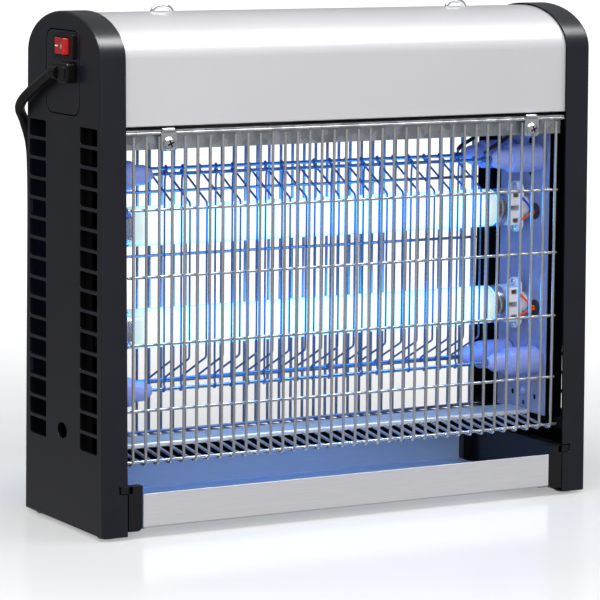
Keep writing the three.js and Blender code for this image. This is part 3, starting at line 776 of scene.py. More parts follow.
def panel_plate(outline, low, high):
    """A plate on the panel with holes for the switch and the strain relief."""
    through = (LEFT_X - 2, LEFT_X + 6)
    return carve(solid(add_prism, "x", outline, low, high),
                 solid(add_box, through, *around_switch(12.8, 6.7)),
                 solid(add_box, through, (-18.6, -5.4), (285.2, 294.8)))


def paddle_point(y, x):
    """Tilts a paddle point and moves it onto the switch, as (x, y)."""
    cos, sin = math.cos(PADDLE_TILT), math.sin(PADDLE_TILT)
    return x * cos + y * sin + PADDLE_X, y * cos - x * sin + SWITCH_Y


def mark_point(y, z, lift):
    """A point above the rear or front facet of the paddle."""
    x = CREST_X + (HORN_X - CREST_X) * (abs(y) - CREST_Y) / (HORN_Y - CREST_Y)
    return (*paddle_point(y, x - lift), z)


def bar_mark():
    corners = [(2.9, SWITCH_Z - 0.42), (6.4, SWITCH_Z - 0.42),
               (6.4, SWITCH_Z + 0.42), (2.9, SWITCH_Z + 0.42)]
    return solid(add_loft, [[mark_point(y, z, lift) for y, z in corners]
                            for lift in MARK_FACES])


def ring_mark():
    low, high = MARK_FACES
    section = ((0.85, low), (1.3, low), (1.3, high), (0.85, high))    # radius, lift
    rings = []
    for k in range(28):
        t = 2 * math.pi * k / 28
        rings.append([mark_point(-4.0 + radius * math.cos(t),
                                 SWITCH_Z + radius * math.sin(t), lift)
                      for radius, lift in section])
    return solid(add_loft, rings, loop=True)


mesh = panel_plate(rounded_rect(-23.75, 23.75, 263.8, 315.8, 8, 8), LEFT_X, LEFT_X + 2.4)
piece("switch_panel_plate", mesh, "switch_panel_plastic", "switch_panel",
      bevel=0.45, segments=3, smooth=38)
# dark back wall behind the panel groove
mesh = panel_plate(rounded_rect(-27, 27, 260.5, 318, 8, 6), LEFT_X + 2.6, LEFT_X + 3.6)
piece("switch_panel_seat", mesh, "seat_shadow", smooth=30)

bezel_x = LEFT_X - 2.7
well = around_switch(8.7, 5.7)     # the hole the paddle sits in
bezel_y, bezel_z = around_switch(14.1, 7.7)
mesh = solid(add_prism, "x", rounded_rect(*bezel_y, *bezel_z, 1.3, 4), bezel_x, LEFT_X - 0.1)
mesh = carve(mesh, solid(add_box, (bezel_x - 2, LEFT_X + 2), *well))
piece("rocker_bezel", mesh, "switch_black", "rocker_switch_body",
      bevel=0.6, segments=3, smooth=38)
mesh = carve(solid(add_box, (LEFT_X - 0.4, -166.5), *around_switch(12.4, 6.5)),
             solid(add_box, (LEFT_X - 2, -173.5), *well))
piece("rocker_case", mesh, "switch_black", smooth=30)
mesh = bmesh.new()
for shift in (-7, 7):
    tab_y = SWITCH_Y + shift
    add_box(mesh, (-167, -161.5), (tab_y - 0.4, tab_y + 0.4), (SWITCH_Z - 2.4, SWITCH_Z + 2.4))
piece("rocker_tabs", mesh, "brass_blade", bevel=0.15, smooth=30)

mesh = solid(add_prism, "z", [paddle_point(y, x) for y, x in PADDLE],
             SWITCH_Z - 5.25, SWITCH_Z + 5.25)
piece("rocker_paddle", mesh, "rocker_red", "rocker_button", body="switch_rocker",
      bevel=0.75, segments=4, smooth=50, bevel_angle=30)
for name, mesh in (("rocker_mark_bar", bar_mark()), ("rocker_mark_ring", ring_mark())):
    piece(name, mesh, "mark_white", body="switch_rocker", smooth=20)

# ---------------------------------------------------------------- strain relief and cord
PLUG_Y = 73.25
BOOT_Z, PLUG_Z = 7, 7.4
RELIEF_BOOT = [    # radius, y
    (0.0, -6.0), (4.4, -6.0), (4.7, -5.4), (4.7, -3.6), (4.0, -3.3), (4.0, -2.5),
    (4.65, -2.2), (4.65, -0.6), (3.95, -0.3), (3.95, 0.5), (4.6, 0.8), (4.6, 2.2),
    (4.35, 3.7), (4.1, 4.1), (3.3, 4.2), (0.0, 4.2),
]
CORD = [           # x, y, z from the strain relief down the cap and along the floor
    (CORD_X, 0, CORD_Z), (CORD_X, 4.5, 289.5), (-186, 12, 286.6), (-186, 25, 280.9),
    (-186, 38, 275), (-186, 49.5, 268.6), (-184.2, 57.2, 262.5), (-179, 61.6, 254),
    (-174.6, 62.6, 240), (-173.2, 63, 222), (-172.5, 64, 180), (-172, 65.5, 110),
    (-171.5, 67, 45), (-169, 69, 18), (-158, 71, 5.2), (-140, 72.5, 3.6),
    (-112, PLUG_Y, 5.6), (-96, PLUG_Y, BOOT_Z),
]
PLUG_STATIONS = ((-85.2, 0.80), (-83, 0.95), (-76, 1.0), (-66, 0.93), (-58, 0.97),
                 (-52, 1.0))    # x, scale of the section

mesh = solid(add_prism, "x", rounded_rect(-20.3, -4.6, 283.7, 296.9, 3.2, 5),
             -187.9, LEFT_X - 0.3)
piece("strain_relief_block", mesh, "cord_pvc", "strain_relief",
      bevel=1.4, segments=4, smooth=45)
mesh = solid(add_prism, "x", rounded_rect(-17.5, -8.2, 286.2, 294.4, 2.0, 4), -188.5, -187.6)
piece("strain_relief_lid", mesh, "cord_pvc", bevel=0.35, smooth=45)
mesh = solid(add_turned, "y", RELIEF_BOOT, (CORD_X, 0, CORD_Z), 28)
piece("strain_relief_boot", mesh, "cord_pvc", smooth=35)
mesh = solid(add_box, (LEFT_X - 0.5, -173), (-18, -6), (285.8, 294.2))
piece("strain_relief_plug", mesh, "cord_pvc", bevel=0.6, smooth=40)
piece("power_cord_sleeve", solid(add_tube, spline(CORD, 9), 3.2, 20), "cord_pvc",
      "power_cord", smooth=60)

profile = [(0.0, -101), (4.0, -101)]
for k in range(5):    # ridges that widen towards the plug
    x = -99.8 + k * 3.0
    ridge, groove = 4.5 + k * 0.25, 3.9 + k * 0.22
    profile += [(ridge, x), (ridge, x + 1.5), (groove, x + 1.8), (groove, x + 2.7)]
profile += [(5.6, -84.6), (0.0, -84.5)]
piece("plug_boot", solid(add_turned, "x", profile, (0, PLUG_Y, BOOT_Z), 26), "cord_pvc",
      smooth=35)
section = rounded_rect(61.2, 85.3, 0.5, 14.3, 4.2, 5)
rings = [[(x, PLUG_Y + (y - PLUG_Y) * scale, PLUG_Z + (z - PLUG_Z) * scale)
          for y, z in section] for x, scale in PLUG_STATIONS]
piece("plug_body", solid(add_loft, rings), "cord_pvc", bevel=0.7, segments=3, smooth=45)
mesh = bmesh.new()
for y in (66.8, 79.7):
    add_prism(mesh, "y", rounded_rect(-54, -34.7, 4.0, 10.1, 1.0, 3), y - 0.78, y + 0.78)
piece("plug_blades", mesh, "brass_blade", bevel=0.25, smooth=40)

# ---------------------------------------------------------------- top cover
COVER_SHEET = 1.2
COVER_HEM = [    # (y, z) of the rolled lower hem on the front side
    (-50.0, 258.15), (-49.2, 258.2), (-48.9, 258.9), (-49.1, 262.0), (-49.6, 262.3),
]


def cover_outline(inset):
    half = [(50.8 - inset, 258.7), (50.6 - inset, 280)]
    return over_the_top(half + quarter_ellipse(50.4 - inset, 26.6 - inset, 44))


inner = cover_outline(COVER_SHEET)[::-1][1:-1]
section = cover_outline(0.0) + COVER_HEM + inner + [(-y, z) for y, z in COVER_HEM[::-1]]
mesh = solid(add_loft, [[(x, y, z) for y, z in section]
                        for x in (-167.5, -163.2, 0, 163.2, 167.5)])
cutter = bmesh.new()
for bail_x in BAIL_X.values():
    for leg in (-BAIL_HALF, BAIL_HALF):
        add_turned(cutter, "z", rod(1.7, 315, 330), (bail_x + leg, 0, 0), 20)
piece("cover_shell", carve(mesh, cutter), "cover_paint", "top_cover", smooth=38)

# ---------------------------------------------------------------- hanging bails
BAIL_FOOT = [    # radius, z of the collar on each leg
    (0, 307.4), (2.5, 307.4), (2.6, 307.6), (2.6, 309.2), (2.5, 309.4), (0, 309.4),
]
for end, x in BAIL_X.items():
    legs = (x - BAIL_HALF, x + BAIL_HALF)
    path = [(legs[0], 0, 308), (legs[0], 0, 330.1), (legs[1], 0, 330.1), (legs[1], 0, 308)]
    mesh = solid(add_tube, fillet(path, 7.0, 12), 1.35, 16)
    for leg in legs:
        add_turned(mesh, "z", BAIL_FOOT, (leg, 0, 0), 20)
    piece("bail_" + end + "_wire", mesh, "screw_chrome", "hanging_bail_" + end,
          body="bail_" + end, smooth=50)

# ---------------------------------------------------------------- sheet chassis
SHEET = 0.9
CHANNEL_HALF = 162.6
CHANNEL_EDGE = [    # (y, z) of the folded front edge
    (-46.9, 243.5), (-46.9, 253.9), (-47.3, 254.6), (-51.2, 254.6), (-51.8, 254.2),
    (-51.8, 253.2),
]
PLATE_HOLES = [     # y, z, radius
    (-6.2, 234.6, 2.6), (-6.9, 213.7, 2.3), (-9.2, 96.3, 2.3), (-9.1, 74.9, 2.3),
    (10.6, 60.4, 2.0), (-16.5, 60.5, 2.0), (-2.8, 54.6, 1.8),
]
PLATE_BUTTON = [    # radius, x of the round head on the inner face
    (0, 162.9), (1.6, 163.0), (3.1, 163.9), (3.5, 165.0), (3.5, 166.2), (0, 166.2),
]
THROUGH_PLATE = (160, 170)


def channel():
    """Sheet under the cover with a folded edge front and rear."""
    mesh = bmesh.new()
    for side in (-1, 1):
        edge = sheet_strip([(y * -side, z) for y, z in CHANNEL_EDGE], SHEET)
        add_prism(mesh, "x", edge, -CHANNEL_HALF, CHANNEL_HALF)
    add_box(mesh, (-CHANNEL_HALF, CHANNEL_HALF), (-51.6, 51.6), (255.05, 255.9))
    cutter = bmesh.new()
    for x in CLIP_X.values():
        for side in (-1, 1):
            hole = rod(2.1, *side_span(side, 44, 50))
            add_turned(cutter, "y", hole, (x, 0, SCREW_Z), 16)
    for y in (-RAIL_Y, RAIL_Y):
        add_turned(cutter, "z", rod(3, 250, 260), (145, y, 0), 20)
    return carve(mesh, cutter)


def side_plate():
    """Right side plate with its holes, end flanges and round head."""
    cutter = bmesh.new()
    for level, lamp_z, (y, z) in LAMPS:
        add_turned(cutter, "x", rod(4.3, *THROUGH_PLATE), (0, y, z), 24)
    for y, z, radius in PLATE_HOLES:
        add_turned(cutter, "x", rod(radius, *THROUGH_PLATE), (0, y, z), 18)
    mesh = carve(solid(add_box, (166.05, 166.95), (-29.4, 29.4), (49.3, 254.6)), cutter)
    extra = solid(add_box, (150.2, 166.6), (-29.4, 29.4), (253.9, 254.7))
    add_box(extra, (154.2, 166.6), (-10.8, 10.8), (49.2, 50.0))
    add_turned(extra, "x", PLATE_BUTTON, (0, -4.2, 63.2), 22)
    join(mesh, extra)
    return mesh


def side_shade_sheet():
    """Painted shade: a dark sheet on the outer side of the right side plate, standing in for
    the shade inside the cap.
    """
    holes = [solid(add_turned, "x", rod(6.0, *THROUGH_PLATE), (0, y, z), 24)
             for level, lamp_z, (y, z) in LAMPS]
    return carve(solid(add_box, (167.5, 167.9), (-29.2, 29.2), (42, 254)), *holes)


piece("channel_sheet", channel(), "zinc_sheet", "top_channel", bevel=0.25, smooth=40)
for end, sign in ENDS:
    piece("side_plate_" + end + "_shade_sheet", mirrored(side_shade_sheet(), x=sign < 0), "painted_shade_black",
          smooth=30)
    piece("side_plate_" + end + "_sheet", mirrored(side_plate(), x=sign < 0),
          "blue_lit_side_plate_zinc", end + "_side_plate",
          bevel=0.15, segments=1, smooth=38)

section = sheet_strip(across_middle([(-12.5, 48.7), (-12.5, 50.6), (-12.1, 51.1)]), SHEET)
piece("floor_strip_sheet", solid(add_prism, "x", section, -164.3, 164.3),
      "floor_strip_zinc", "floor_strip", bevel=0.15, smooth=40)
# painted shadow: a dark sheet hanging under the strip, between the two rows of prongs
piece("floor_strip_shadow_sheet", solid(add_box, (-151, 151), (10.4, 11.0), (35.2, 49.6)),
      "painted_shade_black", bevel=0.1, segments=1, smooth=30)

# ---------------------------------------------------------------- wire guards
GUARD_WIRES = 36
GUARD_HALF = 156.6796875    # x of the outermost wires
GUARD_PITCH = 2 * GUARD_HALF / (GUARD_WIRES - 1)
GUARD_WIRE_R = 0.98
GUARD_WIRE = [(-51, 252), (-51, 45.0), (-35, 46.3), (-13.9, 49.05)]    # y, z
GUARD_BARS_Z = (206, 163.875, 121.25, 79.625)


def guard():
    """Front guard: upright wires with a foot turned inwards, and cross bars behind them."""
    mesh = bmesh.new()
    for i in range(GUARD_WIRES):
        x = GUARD_HALF - GUARD_PITCH * i
        add_tube(mesh, fillet([(x, y, z) for y, z in GUARD_WIRE], 4.0), GUARD_WIRE_R)
    reach = GUARD_HALF + 2.6
    for z in GUARD_BARS_Z:
        add_tube(mesh, [(-reach, -49.35, z), (reach, -49.35, z)], GUARD_WIRE_R,
                 rounded_ends=True)
    add_tube(mesh, [(-167, -47.5, 46.9), (167, -47.5, 46.9)], GUARD_WIRE_R)
    return mesh


piece("front_guard_wires", guard(), "guard_wire", "front_guard", body=GUARD_FRAME, smooth=60)
piece("rear_guard_wires", mirrored(guard(), y=True), "shaded_rear_guard_wire", "rear_guard",
      smooth=60)

# ---------------------------------------------------------------- clips and their screws
CLIP_LIP = [(-53.15, 254.4), (-53.15, 255.8), (-52.6, 256.6), (-50.6, 256.7)]    # y, z
SCREW = [    # radius, y
    (0.0, -56.5), (1.4, -56.4), (2.7, -55.9), (3.7, -55.1), (4.25, -54.2), (4.25, -53.75),
    (1.5, -53.7), (1.5, -43.8), (0.9, -43.3), (0.0, -43.3),
]
CROSS_TURN = math.radians(24)
CROSS_HALF, CROSS_ARM_HALF = 2.3, 0.5    # half length and half width of an arm


def clip(x):
    """Front clip: a drilled plate, a lip over the channel and two side wings."""
    plate = rounded_rect(x - 5.4, x + 5.4, 242.9, 255.2, 1.6, 4)
    hole = solid(add_turned, "y", rod(1.9, -56, -50), (x, 0, SCREW_Z), 16)
    mesh = bmesh.new()
    join(mesh, carve(solid(add_prism, "y", plate, -53.6, -52.7), hole))
    add_prism(mesh, "x", sheet_strip(CLIP_LIP, SHEET), x - 4.2, x + 4.2)
    for side in (-1, 1):
        wing = sorted((x + side * 4.6, x + side * 5.4))
        add_box(mesh, wing, (-53.2, -52.2), (243.6, 252.6))
    return mesh


def screw(x):
    """Front screw with a cross recess in its domed head."""
    mesh = solid(add_turned, "y", SCREW, (x, 0, SCREW_Z), 30)
    long, wide = CROSS_HALF, CROSS_ARM_HALF
    for k in range(2):
        turn = CROSS_TURN + k * math.pi / 2
        cos, sin = math.cos(turn), math.sin(turn)
        arm = [(x + cos * a - sin * b, SCREW_Z + sin * a + cos * b)
               for a, b in ((-long, -wide), (long, -wide), (long, wide), (-long, wide))]
        mesh = carve(mesh, solid(add_prism, "y", arm, -58, -54.9))
    return mesh


def shade_recess(obj, screw_x, rear):
    """Dark faces inside the cross recess of a screw head."""
    obj.data.materials.append(FINISH["seat_shadow"])
    for face in obj.data.polygons:
        x, y, z = unplace(face.center)
        y = -y if rear else y
        radius = math.hypot(x - screw_x, z - SCREW_Z)
        below_dome = y > -56.5 + 0.14 * radius * radius + 0.12
        if radius < CROSS_HALF and below_dome and y < -54:
            face.material_index = 1


GUARD_SIDES = (("front", GUARD_FRAME, False), ("rear", "housing", True))
for end, x in CLIP_X.items():
    for face, body, rear in GUARD_SIDES:
        piece("clip_%s_%s" % (face, end), mirrored(clip(x), y=rear), "clip_plate",
              "%s_clip_%s" % (face, end), body=body,
              bevel=0.2, smooth=40)
    for face, body, rear in GUARD_SIDES:
        head = piece("screw_%s_%s" % (face, end), mirrored(screw(x), y=rear),
                     "screw_chrome", "%s_clip_screw_%s" % (face, end), body=body, smooth=35)
        shade_recess(head, x, rear)

# ---------------------------------------------------------------- insulators
INSULATOR = [    # radius, x
    (0.0, 165.7), (8.2, 165.7), (9.2, 165.2), (9.6, 164.0), (9.65, 158), (9.55, 143.4),
    (9.2, 142.0), (8.2, 141.4), (6.9, 141.0), (6.6, 140.2), (6.55, 133.4), (6.0, 131.8),
    (4.6, 129.6), (3.4, 127.7), (2.7, 127.3), (1.35, 127.4), (1.3, 132.0), (0.0, 132.0),
]
for level, z in RAIL_Z.items():
    for face, facing in FACES:
        for end, sign in ENDS:
            mesh = solid(add_turned, "x", INSULATOR, (0, facing * RAIL_Y, z), 36)
            name = "insulator_%s_%s_%s" % (level, face, end)
            piece(name + "_body", mirrored(mesh, x=sign < 0), "insulator_ceramic", name,
                  smooth=35)

# ---------------------------------------------------------------- live grids
GRID_PITCH = 12.2
GRID_X = 126.2    # first wire of the front grid; the rear one starts half a pitch further in
# (y, z) of a front wire: looped over the upper rail, straight down, hooked under the lower
FRONT_WIRE = [
    (-15.3, 224.4), (-15.5, 226.2), (-17.0, 226.7), (-18.4, 225.8), (-18.3, 223.6),
    (-17.4, 221), (-17.1, 205), (-17.1, 105), (-17.3, 89.5), (-18.4, 87.6), (-18.3, 85.7),
    (-17.0, 84.8), (-15.6, 85.6),
]
# (y, z) of a rear wire: it crosses to the front plane between the two rear rails
REAR_WIRE = [
    (15.6, 223.7), (16.0, 226.0), (17.5, 226.4), (18.2, 224.6), (15.8, 222.6),
    (-16.6, 205.6), (-17.0, 203.5), (-17.0, 107), (-16.6, 105), (15.8, 88.6), (18.2, 86.6),
    (17.5, 84.8), (16.0, 85.2), (15.6, 87.2),
]


def grid(rail_y, first_x, count, wire, corner):
    mesh = bmesh.new()
    for z in RAIL_Z.values():
        add_tube(mesh, [(x, rail_y, z) for x in (-135.5, -60, 60, 135.5)], 1.15, 12)
    for k in range(count):
        x = first_x - GRID_PITCH * k
        path = fillet([(x, y, z) for y, z in wire], corner, 3)
        add_tube(mesh, path, 0.7, 8, rounded_ends=True)
    return mesh


piece("hv_grid_front_wires", grid(-RAIL_Y, GRID_X, 21, FRONT_WIRE, 1.2), "grid_wire",
      "hv_grid_front", smooth=60)
piece("hv_grid_rear_wires", grid(RAIL_Y, GRID_X - GRID_PITCH / 2, 20, REAR_WIRE, 1.4),
      "grid_wire", "hv_grid_rear", smooth=60)

# ---------------------------------------------------------------- high-voltage leads
HV_LEAD = [    # x, distance from the middle in y, z
    (52.5, 14, 284), (80, 15, 284), (120, 16.5, 280), (139, 17, 274.5), (144.6, 17, 266),
    (145, 17, 250), (142, 17, 241), (134, 17, 235.5), (126, 17, 231.5), (122.8, 17, 228.6),
]
HV_LUG = [(1.25, 120.6), (2.1, 120.6), (2.1, 124.9), (1.25, 124.9), (1.25, 120.6)]  # radius, x
for face, facing in FACES:
    path = spline([(x, facing * y, z) for x, y, z in HV_LEAD], 6)
    piece("hv_lead_%s_sleeve" % face, solid(add_tube, path, 1.35, 12), "hv_lead_sleeve",
          "hv_lead_" + face, smooth=60)
    y = facing * RAIL_Y
    mesh = solid(add_turned, "x", HV_LUG, (0, y, RAIL_Z["upper"]), 20)
    add_tube(mesh, [(122.8, y, 228.8), (122.7, y, 226.2)], 0.9)
    piece("hv_lug_" + face, mesh, "grid_wire", smooth=35)

# ---------------------------------------------------------------- lamps
GLASS_END = [    # radius, x of the right half
    (0.0, 138.6), (11.6, 138.6), (12.2, 137.6), (12.75, 136.2), (12.85, 134.5),
]
LAMP_CAP = [     # radius, x
    (0.0, 147.0), (9.5, 147.0), (11.3, 146.7), (12.4, 146.0), (12.95, 144.8),
    (12.95, 141.0), (12.6, 140.4), (12.95, 139.8), (12.95, 137.6), (12.3, 137.3),
    (0.0, 137.4),
]
LAMP_PIN = [(0, 146.5), (1.15, 146.5), (1.15, 153.4), (0.8, 153.9), (0, 154)]    # radius, x
for level, z, grommet in LAMPS:
    lamp_body = level + "_tube"
    profile = [(radius, -x) for radius, x in GLASS_END] + GLASS_END[::-1]
    piece(level + "_lamp_glass", solid(add_turned, "x", profile, (0, 0, z), 48),
          "tube_glass", level + "_lamp", body=lamp_body, smooth=40)
    for end, sign in ENDS:
        mesh = solid(add_turned, "x", LAMP_CAP, (0, 0, z), 48)
        piece("%s_lamp_cap_%s" % (level, end), mirrored(mesh, x=sign < 0),
              "lamp_cap_metal", body=lamp_body, smooth=40)
        mesh = bmesh.new()
        for shift in (-6.35, 6.35):
            add_turned(mesh, "x", LAMP_PIN, (0, 0, z + shift), 16)
        add_turned(mesh, "x", rod(8.6, 146.6, 147.3), (0, 0, z), 32)
        piece("%s_lamp_pins_%s" % (level, end), mirrored(mesh, x=sign < 0),
              "lamp_pins_brass", body=lamp_body, smooth=35)

# ---------------------------------------------------------------- lampholders
CONTACT_SHIFTS = (-8.6, 8.6)    # contacts below and above the lamp axis
HOLDER_RING = [(4.6, 147.0), (8.2, 147.0), (8.2, 155.5), (4.6, 155.5)]    # radius, x
HOLDER_SCREW = [(0, 157.0), (1.2, 157.1), (2.2, 157.8), (2.3, 158.6), (0, 158.7)]
GROMMET = [    # radius, x
    (2.0, 164.8), (5.0, 164.7), (5.5, 165.0), (5.6, 165.4), (5.5, 165.8), (3.95, 165.85),
    (3.95, 167.15), (5.5, 167.2), (5.6, 167.6), (5.4, 168.2), (2.0, 168.2),
]


def holder(z):
    """Right holder: a block with a ring groove and entry slot, its flange and its boss."""
    mesh = solid(add_prism, "x", rounded_rect(-9.9, 9.9, z - 11.9, z + 11.9, 1.6, 4),
                 147.6, 158.7)
    groove = solid(add_turned, "x", HOLDER_RING, (0, 0, z), 40, loop=True)
    entry = solid(add_box, (147, 155.5), (-11, 8), (z - 1.7, z + 1.7))
    windows = bmesh.new()    # contact windows in the front face
    for shift in CONTACT_SHIFTS:
        add_box(windows, (150.6, 155.4), (-11.0, -9.0), (z + shift - 1.6, z + shift + 1.6))
    mesh = carve(mesh, groove, entry, windows)
    flange = []
    for start, centre in ((0, z + 11.2), (math.pi, z - 11.2)):
        for i in range(25):
            t = start + math.pi * i / 24
            flange.append((6.2 * math.cos(t), centre + 6.2 * math.sin(t)))
    extra = solid(add_prism, "x", flange, 158.6, 161.6)
    add_turned(extra, "x", rod(6.9, 161.5, 165.9), (0, 0, z), 28)
    join(mesh, extra)
    return mesh


def holder_screws(z):
    mesh = bmesh.new()
    for shift in (-14.3, 14.3):
        add_turned(mesh, "x", HOLDER_SCREW, (0, 0, z + shift), 18)
    return mesh


def holder_contacts(z):
    mesh = bmesh.new()
    for shift in CONTACT_SHIFTS:
        height = (z + shift - 1.3, z + shift + 1.3)
        add_box(mesh, (151.0, 155.0), (-9.3, -8.9), height)
        add_box(mesh, (152.6, 153.2), (-10.0, -9.1), height)
    return mesh


def lamp_lead(start_z, grommet, offset):
    """An insulated lead from the front face of the holder into the grommet and up."""
    y, z = grommet
    path = [
        (156.2, -9.2, start_z), (157.6, -10.6, start_z),
        (160.2, -12.2, start_z + (z - start_z) * 0.35), (163.2, y + 0.5, z + offset * 1.4),
        (165.6, y, z + offset), (170.5, y, z + offset), (172.2, -14.8, z + offset + 4),
    ]
    return solid(add_tube, spline(path, 6), 0.85)


for level, z, grommet in LAMPS:
    upper_lead = "lead_blue" if level == "upper" else "lead_orange"
    for end, sign in ENDS:
        left = sign < 0
        place_name = "%s_%s" % (level, end)
        name = "lampholder_" + place_name
        piece(name + "_body", mirrored(holder(z), x=left), "holder_plastic", name,
              bevel=0.3, smooth=38)
        piece(name + "_screws", mirrored(holder_screws(z), x=left), "screw_chrome",
              smooth=40)
        piece(name + "_contacts", mirrored(holder_contacts(z), x=left), "contact_brass",
              bevel=0.08, segments=1, smooth=30)
        mesh = solid(add_turned, "x", GROMMET, (0, *grommet), 28, loop=True)
        piece("grommet_%s_ring" % place_name, mirrored(mesh, x=left), "black_rubber",
              "grommet_" + place_name, smooth=45)
        for tag, start_z, offset, material in (("a", z + 6.5, 0.9, upper_lead),
                                               ("b", z - 7.5, -0.9, "lead_orange")):
            mesh = mirrored(lamp_lead(start_z, grommet, offset), x=left)
            piece("lamp_lead_%s_%s" % (place_name, tag), mesh, material,
                  smooth=60)

HARNESS = [    # x, y, z up the inside of the cap and in under the cover
    (172.5, -15, 125), (172.3, -15, 150), (172.6, -15, 190), (172.3, -15, 230),
    (172.5, -15, 262), (170.5, -15, 271), (163, -15, 276.8), (150, -15, 278),
    (134, -12.5, 278),
]
for end, sign in ENDS:
    mesh = bmesh.new()
    for shift in (-0.9, 0.9):
        add_tube(mesh, spline([(x, y + shift, z) for x, y, z in HARNESS], 6), 0.95)
    piece("lamp_harness_" + end, mirrored(mesh, x=sign < 0), "lead_blue",
          "lamp_leads_" + end, smooth=60)

# ---------------------------------------------------------------- parts under the cover
DECK_Z = 256.3
mesh = solid(add_prism, "z", rounded_rect(-8, 52, -21, 21, 2.5, 5), DECK_Z, 292.5)
add_prism(mesh, "z", rounded_rect(-14, 58, -6, 6, 2.5, 5), DECK_Z, 258.3)
for y in (-14, 14):    # collars where the leads start
    collar = [(1.6, 51), (4.4, 51), (4.4, 54.4), (1.6, 54.4)]
    add_turned(mesh, "x", collar, (0, y, 284), 20)
piece("hv_module_case", mesh, "module_potting", "hv_transformer_module",
      bevel=0.5, smooth=40)
mesh = solid(add_prism, "z", rounded_rect(-104, -28, -17, 17, 2.0, 4), DECK_Z, 283.8)
add_prism(mesh, "z", rounded_rect(-112, -20, -8, 8, 2.0, 4), DECK_Z, 257.7)
piece("ballast_case_body", mesh, "ballast_case", "lamp_ballast", bevel=0.6, smooth=40)
mesh = solid(add_box, (-150, -122), (-8, 8), (DECK_Z, 268))
add_box(mesh, (-147.5, -124.5), (-4.5, 4.5), (268, 272.9))
cutter = bmesh.new()
for x in (-144.7, -138.7, -132.7, -127.3):
    add_turned(cutter, "z", rod(1.5, 264, 275), (x, 0, 0), 16)
piece("terminal_block_body", carve(mesh, cutter), "ballast_case", "terminal_block",
      bevel=0.3, smooth=40)

# ---------------------------------------------------------------- catch tray
TRAY = "catch_tray"
TRAY_END_HALF = 57.15
TRAY_HANDLE = [(152.7, 8.0), (153.6, 6.2), (155.4, 4.9), (162.4, 4.9), (162.4, 33.7),
               (152.7, 33.7)]    # x, z


def tray_end():
    """Right end moulding: two corner blocks, end wall, floor lip and top flange."""
    mesh = bmesh.new()
    for y_span in ((-TRAY_END_HALF, -51), (51, TRAY_END_HALF)):
        add_prism(mesh, "y", TRAY_HANDLE, *y_span)
    add_box(mesh, (159.5, 162.4), (-56.9, 56.9), (4.9, 33.6))
    add_box(mesh, (148.1, 160), (-50.8, 50.8), (4.9, 6.2))
    flange = [(159.6, 29.3), (167.9, 29.3), (167.9, 33.7), (159.6, 33.7)]
    add_prism(mesh, "y", flange, -TRAY_END_HALF, TRAY_END_HALF)
    # raised bead along the top of the front block
    bead = [(153.4, 33.6), (162.0, 33.6), (162.0, 33.75), (153.4, 33.75)]
    add_prism(mesh, "y", bead, -56.8, -51.4)
    return mesh


section = sheet_strip(across_middle([(-56.55, 28.3), (-56.55, 7.6), (-56.0, 6.95)]), SHEET)
piece("tray_pan_sheet", solid(add_prism, "x", section, -152.1, 152.1), "tray_sheet",
      "tray_pan", body=TRAY, bevel=0.2, smooth=45)
for end, sign in ENDS:
    piece("tray_end_%s_moulding" % end, mirrored(tray_end(), x=sign < 0), "tray_plastic",
          "tray_end_" + end, body=TRAY, bevel=0.4, smooth=40)

# ---------------------------------------------------------------- feet
FOOT_X, FOOT_Y = 172, 45
FOOT = [(0, 0.05), (4.6, 0.05), (5.3, 0.2), (5.9, 0.9), (5.95, 2.0), (0, 2.0)]    # radius, z
for face, facing in FACES:
    for end, sign in ENDS[::-1]:
        name = "foot_%s_%s" % (face, end)
        mesh = solid(add_turned, "z", FOOT, (sign * FOOT_X, facing * FOOT_Y, 0), 28)
        piece(name + "_pad", mesh, "black_rubber", name, smooth=40)

# ---------------------------------------------------------------- stage: wide pale floor
mesh = bmesh.new()
angles = [2 * math.pi * i / 48 for i in range(48)]
rings = [[mesh.verts.new((r * math.cos(t), r * math.sin(t), 0)) for t in angles]
         for r in (600, 2500, 16000)]
mesh.faces.new(rings[0])
for a, b in zip(rings, rings[1:]):
    skin(mesh, a, b)
floor = new_object("studio_floor", mesh)
floor.data.materials.append(FINISH["studio_floor"])


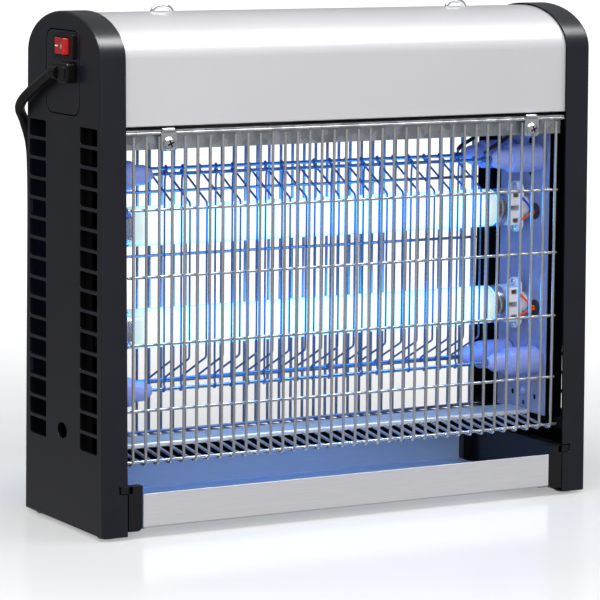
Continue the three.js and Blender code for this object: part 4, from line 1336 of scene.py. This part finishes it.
# ---------------------------------------------------------------- light
def build_world():
    """Plain white to the camera, a soft front-to-back gradient to every other ray."""
    world = bpy.data.worlds.new("studio")
    bpy.context.scene.world = world
    world.use_nodes = True
    tree = world.node_tree
    tree.nodes.clear()
    white = node(tree, "Background", {"Color": (1, 1, 1, 1), "Strength": 1.0})
    direction = split(tree, node(tree, "TexCoord", {})["Generated"])
    level = remap(tree, direction["Y"], source=(-1, 1), to=(ENV_FRONT, ENV_BACK))
    overhead = remap(tree, direction["Z"], source=(0.1, 0.9), to=(0.0, ENV_TOP))
    strength = maths(tree, "ADD", level, overhead)
    soft = node(tree, "Background", {"Color": (0.97, 0.98, 1.0, 1), "Strength": strength})
    shader = by_ray(tree, camera=white["Background"], others=soft["Background"])
    output(tree, shader, "OutputWorld")


def aim_area(name, at, target, power, size, size_y=None, glossy=True):
    """An area light at a point, aimed at another; points in mm, sizes in metres."""
    light = bpy.data.lights.new(name, "AREA")
    light.energy = power
    light.size = size
    if size_y:
        light.shape = "RECTANGLE"
        light.size_y = size_y
    obj = bpy.data.objects.new(name, light)
    bpy.context.scene.collection.objects.link(obj)
    obj.location = place(*at)
    aim = place(*target) - obj.location
    obj.rotation_euler = aim.to_track_quat("-Z", "Y").to_euler()
    obj.visible_camera = False
    obj.visible_glossy = glossy
    return obj


build_world()
aim_area("top_strip", at=(0, -330, 1500), target=(0, 0, 300), power=17, size=2.0, size_y=0.34)
shine = aim_area("top_shine", at=(0, -420, 1450), target=(0, 0, 300), power=34,
                 size=2.0, size_y=0.6)
shine.visible_diffuse = False
aim_area("front_fill", at=(-700, -2000, 700), target=(0, 0, 160), power=42,
         size=1.6, size_y=1.2, glossy=False)
aim_area("left_fill", at=(-1800, 300, 500), target=(0, 0, 160), power=13, size=1.2,
         glossy=False)

# ---------------------------------------------------------------- camera
CAMERA_AT = (-1067.097, -1870.608, 430.671)
YAW = math.radians(29.50112)      # turned from +y towards +x
PITCH = math.radians(7.82072)     # looking down
ROLL = math.radians(0.54775)

forward = Vector((math.sin(YAW) * math.cos(PITCH), math.cos(YAW) * math.cos(PITCH),
                  -math.sin(PITCH)))
level_right = Vector((math.cos(YAW), -math.sin(YAW), 0))
level_up = level_right.cross(forward)
right = math.cos(ROLL) * level_right + math.sin(ROLL) * level_up
up = -math.sin(ROLL) * level_right + math.cos(ROLL) * level_up
lens = bpy.data.cameras.new("camera")
lens.lens = 197.8465
lens.sensor_width = 36
lens.clip_end = 50
camera = bpy.data.objects.new("camera", lens)
scene = bpy.context.scene
scene.collection.objects.link(camera)
pose = Matrix((right, up, -forward)).transposed().to_4x4()
pose.translation = place(*CAMERA_AT)
camera.matrix_world = pose
scene.camera = camera
scene.view_settings.view_transform = "Standard"
scene.view_settings.look = "None"
